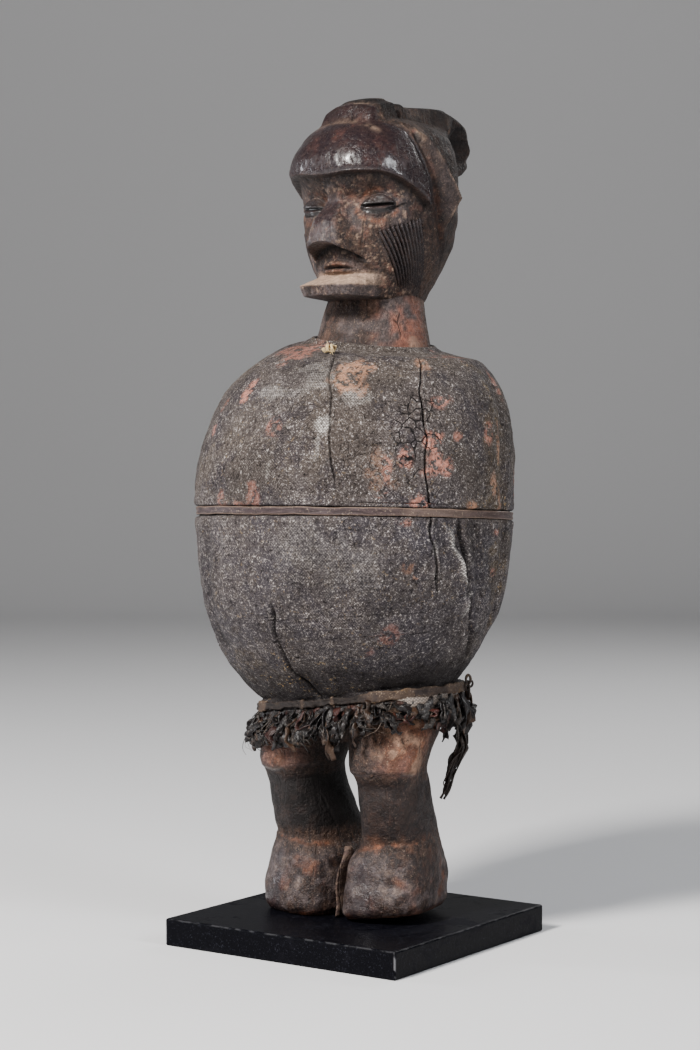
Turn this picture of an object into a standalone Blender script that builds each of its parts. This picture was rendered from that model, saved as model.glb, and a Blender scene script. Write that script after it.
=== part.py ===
# Carved wooden power figure on a display plinth, its torso wrapped in a stuffed bundle of coarse cloth.
# Metres, +Z up. The origin is the centre of the plinth's underside, the figure faces -Y and its own
# left hand side is +X. Angles go round from the front (-Y) towards the figure's own left (+X).
import math

import bmesh
import bpy
import numpy as np

# Plinth: a square of black board
PLINTH_SIDE = 0.126
PLINTH_THICK = 0.0125
PLINTH_EDGE = 0.0009

# Air left between pieces that rest on, or wrap round, each other
CLEARANCE = 0.0003

# Figure: its height from the soles to the top of the crest. Pose and carving are laid out in
# parts of that height, 376 of them, counted up from the soles.
FIGURE_HEIGHT = 0.376
PART = FIGURE_HEIGHT / 376

# Cloth: its own thickness, and how loosely the stuffing is packed round the torso
CLOTH_THICK = 0.0022
BORE_EASE = 0.0014

# Flat strip round the bundle, tilted up at the front: it presses a groove a little wider than itself
STRIP_HEIGHT = 0.0036
STRIP_THICK = 0.0013
STRIP_SINK = 0.0014
STRIP_RISE_LEFT = 0.011
STRIP_RISE_FRONT = 0.0445

# Tie that gathers the cloth round the hips, higher at the figure's left, with a knot there
TIE_HEIGHT = 0.0048
TIE_THICK = 0.0016
TIE_RISE_LEFT = 0.134
TIE_KNOT_REACH = 0.0052
TIE_KNOT_HEIGHT = 0.0110
TIE_KNOT_DIRECTION = math.radians(112)

# Straw knot where the front seam starts at the neck
KNOT_LENGTH = 0.0075
KNOT_HEIGHT = 0.0046
KNOT_DIRECTION = math.radians(7)
KNOT_LEVEL = 259.6

# Stations of the carving, in parts: levels up from the soles, and distances from the mid plane or
# from the body's own axis. A row of the body gives level, half width, half depth and axis set back.
BODY_STATIONS = (
    (80, 18, 12, 0),
    (85, 33, 20, 1),
    (91, 42, 27, 2),
    (100, 44, 30, 3.5),
    (112, 38, 29, 4),
    (137, 29, 26, 4),
    (190, 27, 24, 4),
    (240, 27, 24, 8),
    (262, 25.5, 25, 13),
    (273, 23.2, 23.2, 14),
    (282, 21.3, 21.3, 15.5),
    (290, 20, 20, 16),
)
BODY_SQUARE = 2.4

# A row of a leg gives level, distance of its axis from the mid plane, front and back reach, half width
LEG_STATIONS = (
    (0, 19.8, 22.0, 27.0, 18.6),
    (2.2, 19.8, 24.2, 29.5, 20.2),
    (8, 19.8, 24.8, 30.5, 20.6),
    (18, 20.2, 22.9, 30, 20.0),
    (27, 20.8, 20.4, 28.5, 18.6),
    (33, 21.6, 17.2, 26, 16.6),
    (42, 22.8, 20.0, 22, 15.6),
    (54, 23.6, 22.6, 16.5, 15.4),
    (63, 24, 24.2, 12.5, 15.4),
    (67, 24, 27.0, 11, 15.6),
    (76, 23.6, 28.2, 13.5, 17.2),
    (86, 22, 25.5, 22, 19.2),
    (98, 20, 20, 26, 19.5),
)
LEG_SQUARE, FOOT_SQUARE, FOOT_TOP = 2.7, 3.6, 36
LEG_SPLAY = math.radians(14)
LEFT_SOLE_RISE, SOLE_WORN_FROM, SOLE_WORN_UP = 0.13, 5, 26

# A row of the head gives level, half width, front and back reach from the head's own axis
HEAD_STATIONS = (
    (277.5, 16, 16, 16),
    (282, 19.5, 21.5, 22),
    (287, 22, 25, 25),
    (292, 24.5, 27, 28),
    (299, 27, 29, 33),
    (307, 29, 31, 36.5),
    (317, 30.3, 33, 39),
    (328, 31, 34, 40),
    (337, 31, 36.5, 40.5),
    (345, 30.3, 37.5, 40.5),
    (353, 28.3, 34.6, 39.5),
    (359, 25.2, 30.5, 37),
    (363.5, 18.5, 23.5, 33.5),
    (366, 12.5, 17, 25),
    (367, 8.5, 10, 14),
    (367.4, 3.5, 4, 6),
)
HEAD_SQUARE = 2.5
HEAD_BACK = 16
HEAD_TURN = math.radians(-3.6)

# Levels of the carving on the head, and how far each form stands out or is cut in
# Directions on the head are in degrees from its front
BROW_LEVEL, BROW_OUT, BROW_REACH = 338.4, 3.6, 28
BROW_ROOT_DIP, BROW_ROOT_SPAN = 1.2, 24
BROW_TURN, BROW_END, BROW_DROP = 38, 82, 13
EYE_LEVEL, EYE_DIRECTION, EYE_HALF_SPAN, EYE_HALF_HEIGHT = 324, 38, 14.5, 4
SOCKET_DEEP, SOCKET_HALF_SPAN, SOCKET_HALF_HEIGHT, LID_OUT = 4.4, 27, 12.5, 2.6
NOSE_TOP, NOSE_BASE, NOSE_OUT = 334, 307, 10.5
ROOT_DEEP, ROOT_LEVEL, ROOT_HALF_WIDTH, ROOT_HALF_HEIGHT = 4.4, 326.5, 27, 11.5
NOSE_FLAT, NOSE_FOOT, NOSE_ROOT_OUT = (2.0, 8.8), (4.5, 14.5), 0.6
MOUTH_LEVEL, MOUTH_HALF_WIDTH, MOUTH_HALF_HEIGHT = 299, 9, 4.2
LIPS_OUT, LIPS_PARTED, LIPS_GAP = 3.0, 1.4, 1.2
BEARD_TOP, BEARD_BOTTOM, BEARD_OUT, BEARD_HALF_WIDTH = 288.6, 283.8, 18, 14.5
CREST_HALF_WIDTH, CREST_TOP, CREST_HUMP, CREST_RISE = 14.5, 372.6, 1.4, 3.4
CROWN_LEVEL, CREST_LIFT = 366.7, (350, 366)
BUN_HALF_WIDTH = 17.5
BUN_HOLLOW_LEVEL, BUN_HOLLOW_BACK, BUN_HOLLOW_DEEP = 356, 37, 8
HAIR_OUT = 1.6
EAR_OUT, EAR_WIDEST = 7.0, 10.3

# The hairline and the sharp rear edge of the ear: level, and how far behind the head's axis
HAIR_LINE = ((300, 15), (313, 10), (328, 4.2), (348, -2.4), (355, -5), (362, -6), (366, -20))
EAR_EDGE = ((300, 15), (313, 10), (329, 14.5), (341, 7.5), (355, -0.4), (362, -6), (366, -20))

# The bun at the end of the crest: how far back it reaches, level by level
BUN_STATIONS = (
    (337, 39),
    (341, 42),
    (344.5, 50),
    (351, 55),
    (358, 57),
    (362, 53.5),
    (364.4, 47),
    (366, 43),
    (367, 22),
    (367.4, 8),
)

# Levels on the figure that the cloth keeps to
NECK_LEVEL = 264.5
GIRTH_LEVEL = 197
WAIST_LEVEL = 184.2
HIP_LEVEL = 99.8
TIE_SEAT = (HIP_LEVEL + TIE_HEIGHT / PART / 2, HIP_LEVEL - TIE_HEIGHT / PART / 2 - 2 * CLEARANCE / PART)
HEM_LEVEL = 82

# The stuffed bundle: its girth, how full it is towards its gathered ends, and how its axis leans
BUNDLE_HALF_WIDTH, BUNDLE_HALF_DEPTH = 74, 68.1
BUNDLE_FULL, BUNDLE_SQUARE = 2.6, 2.06
GIRTH_FORWARD, NECK_BACK = 2.5, 14
NECK_OVER = 2.2
GATHER_HALF_WIDTH, GATHER_HALF_DEPTH, GATHER_BACK = 44.6, 31, 3.5
GATHER_SQUARE, GATHER_SHARE, GATHER_SPAN, BORE_GATHER = 2.8, 0.889, 52, 44

# The collar sinks towards the neck, and slants down to the left and to the front
COLLAR_DROP, COLLAR_SPAN, COLLAR_FALL_LEFT, COLLAR_FALL_BACK = 2.6, 11, 0.125, 0.046

# The skirt of cloth below the tie, the place where it is torn away, and the shred that hangs from it
HEM_FORWARD, HEM_EASE, HEM_FOLD, HEM_FOLDS = 4.5, 1.4, 0.5, 13
TORN_DIRECTION, TORN_HALF_SPAN, TORN_RISE = math.radians(55), math.radians(22), 9
SHRED_DIRECTION, SHRED_HALF_SPAN, SHRED_LENGTH = math.radians(92), math.radians(4), 25

# Main creases of the cloth: direction in degrees at their upper and lower end, upper and lower level,
# depth and half width in parts
CREASES = (
    (14, 27, 264, 196, 1.7, 2.4),
    (58, 67, 264, 142, 2.0, 2.2),
    (72, 96, 174, 108, 2.4, 2.5),
    (-1, -5, 146, 102, 2.2, 3.0),
    (-33, -42, 190, 126, 1.2, 4.6),
    (-96, -90, 264, 106, 1.8, 4.0),
    (128, 122, 264, 106, 1.6, 4.0),
    (172, 168, 264, 106, 2.0, 4.0),
    (-140, -134, 264, 106, 1.8, 4.0),
)
CREASE_END, CREASE_SHOULDER, CREASE_RAISED = 8, 1.7, 0.35

# Rows and columns of each surface
HEAD_ROWS = (
    277.5, 281, 283.2, 284.6, 286.8, 289.0, 290.4, 292.6, 295.2, 297.6, 299, 300.4, 303, 305.6,
    307.6, 309.5, 313, 317, 321, 323.6, 326, 328.4, 331.5, 335, 338, 340.6, 343.5, 347, 351,
    355, 359, 362, 364.4, 366, 367, 367.4,
)
BODY_ROWS = (80, 82.5, 85, 88, 91, 95, 100, 106, 112, 124, 137, 190, 240, 262, 268, 273, 278, 282, 290)
LEG_ROWS = (0, 2.2, 8, 18, 27, 33, 42, 54, 61, 64.5, 67, 71, 76, 81, 86, 98)
BUNDLE_ROWS_ABOVE = (261, 256, 249, 239, 227, 213, 199)
BUNDLE_ROWS_BELOW = (168, 156, 144, 132, 121, 112, 106)
BORE_ROWS = (94, 121, 144, 190, 240, 258)
HEAD_COLUMNS, BODY_COLUMNS, LEG_COLUMNS, BUNDLE_COLUMNS, KNOT_COLUMNS = 52, 20, 18, 52, 10
HEAD_CROWDS = ((0, 42, 1.4), (100, 18, 0.8), (-100, 18, 0.8), (180, 26, 0.9))


def smooth_step(low, high, value):
    share = np.clip((value - low) / (high - low), 0, 1)
    return share * share * (3 - 2 * share)


def bump(distance):
    # One at the middle, falling smoothly to nothing at a distance of one
    return smooth_step(1, 0, np.abs(distance))


def through_stations(level, stations, column):
    # Smooth curve through one column of a table of stations, with the slopes of its neighbours
    table = np.array(stations, float)
    at, value = table[:, 0], table[:, column]
    slope = np.gradient(value, at)
    low = np.clip(np.searchsorted(at, level, side="right") - 1, 0, len(at) - 2)
    span = at[low + 1] - at[low]
    share = np.clip((level - at[low]) / span, 0, 1)
    rest = 1 - share
    return (
        value[low] * (1 + 2 * share) * rest**2
        + value[low + 1] * share**2 * (3 - 2 * share)
        + slope[low] * span * share * rest**2
        - slope[low + 1] * span * share**2 * rest
    )


def section_reach(angle, half_width, half_depth, square):
    # Distance from the middle of a rounded rectangle to its edge in one direction
    aside = np.abs(np.sin(angle)) / half_width
    ahead = np.abs(np.cos(angle)) / half_depth
    return (aside**square + ahead**square) ** (-1 / square)


def body_section(angle, level):
    # Torso, hips and neck: half width, half depth and set-back axis at each level, in parts
    width = through_stations(level, BODY_STATIONS, 1)
    depth = through_stations(level, BODY_STATIONS, 2)
    back = through_stations(level, BODY_STATIONS, 3)
    reach = section_reach(angle, width, depth, BODY_SQUARE)
    return reach * np.sin(angle), back - reach * np.cos(angle)


def leg_section(angle, level, side):
    # One leg's section, turned outwards by the splay, on the side +1 or -1
    aside = through_stations(level, LEG_STATIONS, 1)
    front = through_stations(level, LEG_STATIONS, 2)
    back = through_stations(level, LEG_STATIONS, 3)
    width = through_stations(level, LEG_STATIONS, 4)
    depth = (front + back) / 2
    square = LEG_SQUARE + (FOOT_SQUARE - LEG_SQUARE) * smooth_step(FOOT_TOP, FOOT_TOP / 2, level)
    reach = section_reach(angle, width, depth, square)
    across = reach * np.sin(angle)
    along = -reach * np.cos(angle)
    turn = side * LEG_SPLAY
    x = side * aside + across * np.cos(turn) - along * np.sin(turn)
    y = (back - front) / 2 + across * np.sin(turn) + along * np.cos(turn)
    # The sole of the left foot is worn, and rises outwards
    worn = LEFT_SOLE_RISE * np.clip(x - SOLE_WORN_FROM, 0, None) * smooth_step(SOLE_WORN_UP, 0, level)
    worn = worn * (side > 0)
    return x, y, level + worn


def brow_level(turned):
    # Lower edge of the brow: it dips at the root of the nose, and falls away round the temples
    side = np.clip(turned - BROW_TURN, 0, None) / (BROW_END - BROW_TURN)
    return BROW_LEVEL - BROW_ROOT_DIP * bump(turned / BROW_ROOT_SPAN) - BROW_DROP * side**1.5


def brow_relief(turned, level):
    # The brow standing proud of the sunk eye sockets, and the lids in them, square to the head
    above = level - brow_level(turned)
    out = BROW_OUT * smooth_step(-1.6, 0.8, above) * smooth_step(BROW_REACH, 3, above)
    aside = turned - EYE_DIRECTION
    socket = bump(np.hypot(aside / SOCKET_HALF_SPAN, (level - EYE_LEVEL - 3) / SOCKET_HALF_HEIGHT))
    out -= SOCKET_DEEP * socket * smooth_step(1.0, -1.0, above)
    lids = np.hypot(aside / EYE_HALF_SPAN, (level - EYE_LEVEL) / EYE_HALF_HEIGHT)
    out += LID_OUT * smooth_step(1.1, 0.35, lids)
    return out * smooth_step(BROW_END + 14, BROW_END, turned)


def face_relief(x, level):
    # The wedge of the nose and the lips, straight out in front of the head, and the sunk root of the nose
    aside = np.abs(x)
    down = np.clip((NOSE_TOP - level) / (NOSE_TOP - NOSE_BASE), 0, 1)
    flat, foot = (top + (bottom - top) * down for top, bottom in (NOSE_FLAT, NOSE_FOOT))
    out = (NOSE_ROOT_OUT + (NOSE_OUT - NOSE_ROOT_OUT) * down) * smooth_step(foot, flat, aside)
    out *= smooth_step(NOSE_BASE - 1.4, NOSE_BASE + 0.4, level) * (level < NOSE_TOP)
    out -= ROOT_DEEP * bump(np.hypot(x / ROOT_HALF_WIDTH, (level - ROOT_LEVEL) / ROOT_HALF_HEIGHT))
    lips = bump(np.hypot(x / MOUTH_HALF_WIDTH, (level - MOUTH_LEVEL) / MOUTH_HALF_HEIGHT))
    return out + lips * (LIPS_OUT - LIPS_PARTED * bump((level - MOUTH_LEVEL) / LIPS_GAP))


def beard_relief(x, level):
    # Trapezoid beard: flat below, its top sloping down to a blunt front edge
    plate = smooth_step(BEARD_HALF_WIDTH + 6, BEARD_HALF_WIDTH - 1, np.abs(x))
    under = smooth_step(BEARD_BOTTOM - 2.6, BEARD_BOTTOM, level)
    above = np.clip((BEARD_TOP + 4.4 - level) / 4.4, 0, 1)
    return BEARD_OUT * plate * under * above


def head_surface(angle, row):
    # Head with its face, ears, hair, crest and bun, in parts, before the head is turned and set back.
    # Rows droop at the sides as the brow does, so that its edge stays sharp.
    turned = np.abs(np.degrees((angle + math.pi) % (2 * math.pi) - math.pi))
    droop = (BROW_LEVEL - brow_level(turned)) * smooth_step(BROW_END + 20, BROW_END - 4, turned)
    level = row - droop * bump((row - BROW_LEVEL) / 40)
    width = through_stations(level, HEAD_STATIONS, 1)
    front = through_stations(level, HEAD_STATIONS, 2)
    back = through_stations(level, HEAD_STATIONS, 3)
    depth = np.where(np.cos(angle) > 0, front, back)
    reach = section_reach(angle, width, depth, HEAD_SQUARE) + brow_relief(turned, level)
    x = reach * np.sin(angle)
    y = -reach * np.cos(angle)
    ahead = smooth_step(-0.15, 0.45, np.cos(angle))
    y = y - ahead * (face_relief(x, level) + beard_relief(x, level))

    hairline, ear_edge = (np.interp(level, *np.transpose(line)) for line in (HAIR_LINE, EAR_EDGE))
    hair = smooth_step(hairline - 1.5, hairline + 1.5, y) * smooth_step(296, 312, level)
    side = np.sign(np.sin(angle))
    wide = np.clip(ear_edge - hairline, 0.01, None)
    ear = np.clip((y - hairline) / wide, 0, 1) * wide / EAR_WIDEST
    ear = ear * smooth_step(ear_edge + 3.4, ear_edge - 0.6, y)
    x = x + side * (HAIR_OUT * hair + EAR_OUT * ear) * smooth_step(0.2, 0.75, np.abs(np.sin(angle)))

    behind = smooth_step(0.25, 0.8, -np.cos(angle))
    bun = smooth_step(BUN_HALF_WIDTH + 4, BUN_HALF_WIDTH - 1, np.abs(x))
    bun = bun * behind * smooth_step(336, 339, level)
    bun_reach = through_stations(level, BUN_STATIONS, 1)
    y = y + bun * np.clip(bun_reach - back, 0, None) * np.abs(y) / back
    hollow = bump(np.hypot((y - BUN_HOLLOW_BACK) / 9, (level - BUN_HOLLOW_LEVEL) / 9)) * behind
    x = x - side * BUN_HOLLOW_DEEP * hollow * smooth_step(7, 13, np.abs(x))
    crest = smooth_step(CREST_HALF_WIDTH + 2, CREST_HALF_WIDTH - 2, np.abs(x)) * smooth_step(-25, -19, y)
    hump = CREST_HUMP * bump(np.hypot(x / 22, (y + 7) / 15)) + CREST_RISE * smooth_step(2, 42, y)
    lift = smooth_step(*CREST_LIFT, row) * (CREST_TOP - CROWN_LEVEL)
    return x, y, level + crest * (lift + hump * smooth_step(*CREST_LIFT, row))


def placed(x, y, level, turn=0.0, back=0.0):
    # Parts to metres, turned about the upright axis and stood on the plinth
    turned_x = x * math.cos(turn) - y * math.sin(turn)
    turned_y = x * math.sin(turn) + y * math.cos(turn) + back
    z = level * PART + PLINTH_THICK + CLEARANCE
    return np.stack([turned_x * PART, turned_y * PART, z], axis=-1)


def around(columns):
    return np.arange(columns) * 2 * math.pi / columns


def crowded(columns, places):
    # Directions all round, closer together near each place, given as degrees, spread and strength
    fine = np.linspace(-math.pi, math.pi, 1441)
    density = np.ones_like(fine)
    for place, spread, strength in places:
        away = (fine - math.radians(place) + math.pi) % (2 * math.pi) - math.pi
        density += strength * np.exp(-((away / math.radians(spread)) ** 2))
    passed = np.concatenate([[0], np.cumsum((density[1:] + density[:-1]) / 2)])
    return np.interp(np.arange(columns) * passed[-1] / columns, passed, fine)


def crease_direction(crease, level):
    upper, lower, top, bottom = crease[:4]
    return np.radians(upper + (lower - upper) * np.clip((top - level) / (top - bottom), 0, 1))


def cloth_columns(level):
    # Directions all round, with a column in each crease and one on each of its shoulders
    angles = around(BUNDLE_COLUMNS)
    for crease in CREASES:
        middle = math.radians((crease[0] + crease[1]) / 2) % (2 * math.pi)
        nearest = round(middle / (2 * math.pi / BUNDLE_COLUMNS))
        for step in (-1, 0, 1):
            turns = 2 * math.pi * ((nearest + step) // BUNDLE_COLUMNS)
            shoulder = step * CREASE_SHOULDER * crease[5] / BUNDLE_HALF_WIDTH
            direction = crease_direction(crease, level) % (2 * math.pi)
            direction += 2 * math.pi * round((middle - direction) / (2 * math.pi))
            angles[(nearest + step) % BUNDLE_COLUMNS] = direction + shoulder - turns
    return angles


def mesh_object(name, rings, material, closed_tube=False, ends=None):
    # Rings of points skinned with quads. A tube closed on itself joins its last ring to its first,
    # and otherwise each end is capped, at the point given in ends or flat.
    rings = np.asarray(rings)
    rows, columns = rings.shape[:2]
    mesh = bmesh.new()
    grid = [[mesh.verts.new(point) for point in ring] for ring in rings.tolist()]
    for row in range(rows if closed_tube else rows - 1):
        lower, upper = grid[row], grid[(row + 1) % rows]
        for column in range(columns):
            after = (column + 1) % columns
            mesh.faces.new((lower[column], lower[after], upper[after], upper[column]))
    if not closed_tube:
        for which, ring in ((0, grid[0][::-1]), (1, grid[-1])):
            if ends is None or ends[which] is None:
                mesh.faces.new(ring)
                continue
            tip = mesh.verts.new(ends[which])
            for column in range(columns):
                mesh.faces.new((ring[column], ring[(column + 1) % columns], tip))
    bmesh.ops.recalc_face_normals(mesh, faces=mesh.faces)
    if mesh.calc_volume(signed=True) < 0:
        bmesh.ops.reverse_faces(mesh, faces=mesh.faces)
    data = bpy.data.meshes.new(name)
    mesh.to_mesh(data)
    mesh.free()
    data.materials.append(material)
    data.shade_smooth()
    data.set_sharp_from_angle(angle=math.radians(40))
    solid = bpy.data.objects.new(name, data)
    bpy.context.scene.collection.objects.link(solid)
    return solid


def painted(name, colour, roughness):
    material = bpy.data.materials.new(name)
    material.use_nodes = True
    shader = material.node_tree.nodes["Principled BSDF"]
    shader.inputs["Base Color"].default_value = (*colour, 1)
    shader.inputs["Roughness"].default_value = roughness
    shader.inputs["Metallic"].default_value = 0
    return material


def join(target, helper):
    # Boolean union with a helper shape that stays out of the render
    helper.hide_render = True
    helper.display_type = "WIRE"
    union = target.modifiers.new("join_" + helper.name, "BOOLEAN")
    union.operation = "UNION"
    union.solver = "EXACT"
    union.object = helper


def build_plinth():
    half = PLINTH_SIDE / 2
    mesh = bmesh.new()
    bmesh.ops.create_cube(mesh, size=1)
    bmesh.ops.scale(mesh, vec=(2 * half, 2 * half, PLINTH_THICK), verts=mesh.verts)
    bmesh.ops.translate(mesh, vec=(0, 0, PLINTH_THICK / 2), verts=mesh.verts)
    bmesh.ops.bevel(mesh, geom=mesh.edges[:], offset=PLINTH_EDGE, segments=2, profile=0.5, affect="EDGES")
    data = bpy.data.meshes.new("plinth")
    mesh.to_mesh(data)
    mesh.free()
    data.materials.append(painted("black_paint", (0.012, 0.012, 0.014), 0.45))
    plinth = bpy.data.objects.new("plinth", data)
    bpy.context.scene.collection.objects.link(plinth)


def build_figure():
    wood = painted("carved_wood", (0.055, 0.032, 0.024), 0.42)
    angles = around(BODY_COLUMNS)
    rings = [placed(*body_section(angles, level), np.full_like(angles, level)) for level in BODY_ROWS]
    figure = mesh_object("figure", rings, wood)

    angles = around(LEG_COLUMNS)
    for name, side in (("left_leg", 1), ("right_leg", -1)):
        rings = [placed(*leg_section(angles, level, side)) for level in LEG_ROWS]
        join(figure, mesh_object(name, rings, wood))

    angles = crowded(HEAD_COLUMNS, HEAD_CROWDS)
    rings = []
    for level in HEAD_ROWS:
        x, y, z = head_surface(angles, np.full_like(angles, level))
        rings.append(placed(x, y, z, HEAD_TURN, HEAD_BACK))
    top = placed(0, 0, CREST_TOP + CREST_HUMP, HEAD_TURN, HEAD_BACK)
    join(figure, mesh_object("head", rings, wood, ends=(None, top)))


def bundle_axis(level):
    # How far the bundle's axis stands back, in parts: forward at its girth, back at neck and hips
    rise = np.clip((level - GIRTH_LEVEL) / (NECK_LEVEL - GIRTH_LEVEL), 0, 1)
    fall = np.clip((GIRTH_LEVEL - level) / (GIRTH_LEVEL - HIP_LEVEL), 0, 1)
    return -GIRTH_FORWARD + (GIRTH_FORWARD + NECK_BACK) * rise**1.3 + (GIRTH_FORWARD + GATHER_BACK) * fall**6


def bundle_half_sizes(level):
    # Half width and half depth of the bundle at a level, in metres
    top = NECK_LEVEL + NECK_OVER - GIRTH_LEVEL
    bottom = (GIRTH_LEVEL - HIP_LEVEL) / GATHER_SHARE
    share = np.where(level > GIRTH_LEVEL, (level - GIRTH_LEVEL) / top, (GIRTH_LEVEL - level) / bottom)
    full = (1 - np.clip(share, 0, 0.999) ** BUNDLE_FULL) ** (1 / BUNDLE_FULL)
    tied = (1 - GATHER_SHARE**BUNDLE_FULL) ** (1 / BUNDLE_FULL)
    gathered = smooth_step(HIP_LEVEL + GATHER_SPAN, HIP_LEVEL, level)
    width = BUNDLE_HALF_WIDTH * full + (GATHER_HALF_WIDTH - BUNDLE_HALF_WIDTH * tied) * gathered
    depth = BUNDLE_HALF_DEPTH * full + (GATHER_HALF_DEPTH - BUNDLE_HALF_DEPTH * tied) * gathered
    return width * PART, depth * PART


def crease_depth(angle, level):
    # Grooves that the cloth's seams and pulled folds make, in parts
    depth = np.zeros(np.broadcast(angle, level).shape)
    for crease in CREASES:
        top, bottom, deep, half = crease[2:]
        away = (angle - crease_direction(crease, level) + math.pi) % (2 * math.pi) - math.pi
        width = half / BUNDLE_HALF_WIDTH
        ends = smooth_step(bottom - CREASE_END, bottom + CREASE_END, level)
        ends = ends * smooth_step(top + CREASE_END, top - CREASE_END / 2, level)
        shoulder = (np.abs(away) / width - CREASE_SHOULDER) / 1.2
        depth = depth + deep * ends * np.exp(-((away / width) ** 2))
        depth = depth - CREASE_RAISED * deep * ends * np.exp(-(shoulder**2))
    # The strip flattens what stands out beside a crease
    pressed = smooth_step(2, 0.8, np.abs(level - WAIST_LEVEL) * PART / STRIP_HEIGHT)
    return np.where(depth < 0, depth * (1 - pressed), depth)


def bundle_radius(angle, level):
    # Cloth's outer surface from the bundle's axis, in metres, with a flat groove under the strip
    width, depth = bundle_half_sizes(level)
    reach = section_reach(angle, width, depth, BUNDLE_SQUARE)
    pressed = smooth_step(1.3, 0.8, np.abs(level - WAIST_LEVEL) * PART / STRIP_HEIGHT)
    return reach - crease_depth(angle, level) * PART - STRIP_SINK * pressed


def tilt(x, y, level):
    # Height that the tilt of the strip, the tie and the collar adds to a point of the cloth, in metres
    strip = np.interp(level, (HIP_LEVEL, WAIST_LEVEL, NECK_LEVEL), (0, 1, 0))
    tie = np.interp(level, (HIP_LEVEL, WAIST_LEVEL), (1, 0))
    collar = smooth_step(NECK_LEVEL - COLLAR_SPAN, NECK_LEVEL, level)
    sunk = COLLAR_DROP * PART + COLLAR_FALL_LEFT * x - COLLAR_FALL_BACK * y
    return strip * (STRIP_RISE_LEFT * x - STRIP_RISE_FRONT * y) + tie * TIE_RISE_LEFT * x - collar * sunk


def cloth_point(angle, level, radius):
    x = radius * np.sin(angle)
    y = bundle_axis(level) * PART - radius * np.cos(angle)
    z = level * PART + PLINTH_THICK + CLEARANCE + tilt(x, y, level)
    return np.stack([x, y, z], axis=-1)


def cloth_inside(angle, level, away):
    # Points of the cloth's bore, or away from it by its thickness: round the neck and torso it keeps to
    # the body's own sections, and round hips and thighs to one plain gathered outline
    away = away + 2 * CLEARANCE + BORE_EASE
    x, y = body_section(angle, level)
    body = np.stack([x * PART + away * np.sin(angle), y * PART - away * np.cos(angle)], axis=-1)
    hang = smooth_step(TIE_SEAT[1], HEM_LEVEL, level)
    reach = section_reach(angle, GATHER_HALF_WIDTH, GATHER_HALF_DEPTH, GATHER_SQUARE) + HEM_EASE * hang
    reach = reach * PART + away
    back = (GATHER_BACK - HEM_FORWARD * hang) * PART
    gathered = np.stack([reach * np.sin(angle), back - reach * np.cos(angle)], axis=-1)
    hips = smooth_step(HIP_LEVEL + BORE_GATHER, HIP_LEVEL + BORE_GATHER / 2, level)[..., None]
    flat = body + (gathered - body) * hips
    z = level * PART + PLINTH_THICK + CLEARANCE + tilt(flat[..., 0], flat[..., 1], level)
    return np.concatenate([flat, z[..., None]], axis=-1)


def hem_level(angle):
    # Ragged lower edge of the cloth: torn away over the left thigh, with one shred hanging behind that
    away = (angle + math.pi) % (2 * math.pi) - math.pi
    ragged = 1.8 * np.sin(7 * angle + 0.6) + 1.3 * np.sin(11 * angle + 2.1) + 0.9 * np.sin(17 * angle)
    torn = np.exp(-(((away - TORN_DIRECTION) / TORN_HALF_SPAN) ** 4))
    shred = np.exp(-(((away - SHRED_DIRECTION) / SHRED_HALF_SPAN) ** 2))
    return HEM_LEVEL + ragged + TORN_RISE * torn - SHRED_LENGTH * shred


def build_cloth():
    above, below = WAIST_LEVEL + STRIP_HEIGHT / PART, WAIST_LEVEL - STRIP_HEIGHT / PART
    groove = (above + 1.1, above - 0.9, below + 0.9, below - 1.1)
    columns = cloth_columns(HIP_LEVEL)
    flat = np.ones(BUNDLE_COLUMNS)
    collar = (NECK_LEVEL + NECK_OVER / 2) * flat
    rings = [cloth_inside(columns, collar, CLOTH_THICK)]
    for level in (*BUNDLE_ROWS_ABOVE, *groove, *BUNDLE_ROWS_BELOW):
        angles = cloth_columns(level)
        rings.append(cloth_point(angles, level * flat, bundle_radius(angles, level * flat)))
    for level in TIE_SEAT:
        rings.append(cloth_inside(columns, level * flat, CLOTH_THICK))
    hem = hem_level(columns)
    for share, flare in ((0.4, 1.7), (1.0, 0.9)):
        level = TIE_SEAT[1] + (hem - TIE_SEAT[1]) * share
        folds = HEM_FOLD * PART * np.sin(HEM_FOLDS * columns + 1)
        rings.append(cloth_inside(columns, level, CLOTH_THICK * flare + folds))
    for level in (hem, *(row * flat for row in BORE_ROWS), collar):
        rings.append(cloth_inside(columns, level, 0))
    cloth = painted("coarse_cloth", (0.085, 0.066, 0.056), 0.9)
    mesh_object("cloth_wrapping", rings, cloth, closed_tube=True)


def build_band(name, level, height, thick, columns, seat, material, knot=None):
    # Flat band round the cloth, on the seat that a function gives at a distance out from it. A knot has
    # its direction, spread, reach and height.
    half = height / 2
    swell = np.zeros(BUNDLE_COLUMNS)
    if knot is not None:
        swell = np.exp(-(((columns - knot[0]) / knot[1]) ** 2))
    rings = []
    for up, out in ((1, 0), (1, 1), (-1, 1), (-1, 0)):
        extra = swell * out if knot is not None else swell
        reach = CLEARANCE + thick * out + extra * (knot[2] if knot else 0)
        edge = seat(columns, level * np.ones(BUNDLE_COLUMNS), reach)
        edge[:, 2] += up * (half + extra * ((knot[3] - height) / 2 if knot else 0))
        rings.append(edge)
    mesh_object(name, rings, material, closed_tube=True)


def strip_seat(angle, level, away):
    # The strip bridges the creases, so it lies on the bundle's outline without them
    width, depth = bundle_half_sizes(level)
    return cloth_point(angle, level, section_reach(angle, width, depth, BUNDLE_SQUARE) - STRIP_SINK + away)


def build_waist_strip():
    leather = painted("dark_strip", (0.045, 0.026, 0.022), 0.5)
    columns = cloth_columns(WAIST_LEVEL)
    build_band("waist_strip", WAIST_LEVEL, STRIP_HEIGHT, STRIP_THICK, columns, strip_seat, leather)


def tie_seat(angle, level, away):
    return cloth_inside(angle, level, CLOTH_THICK + away)


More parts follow.
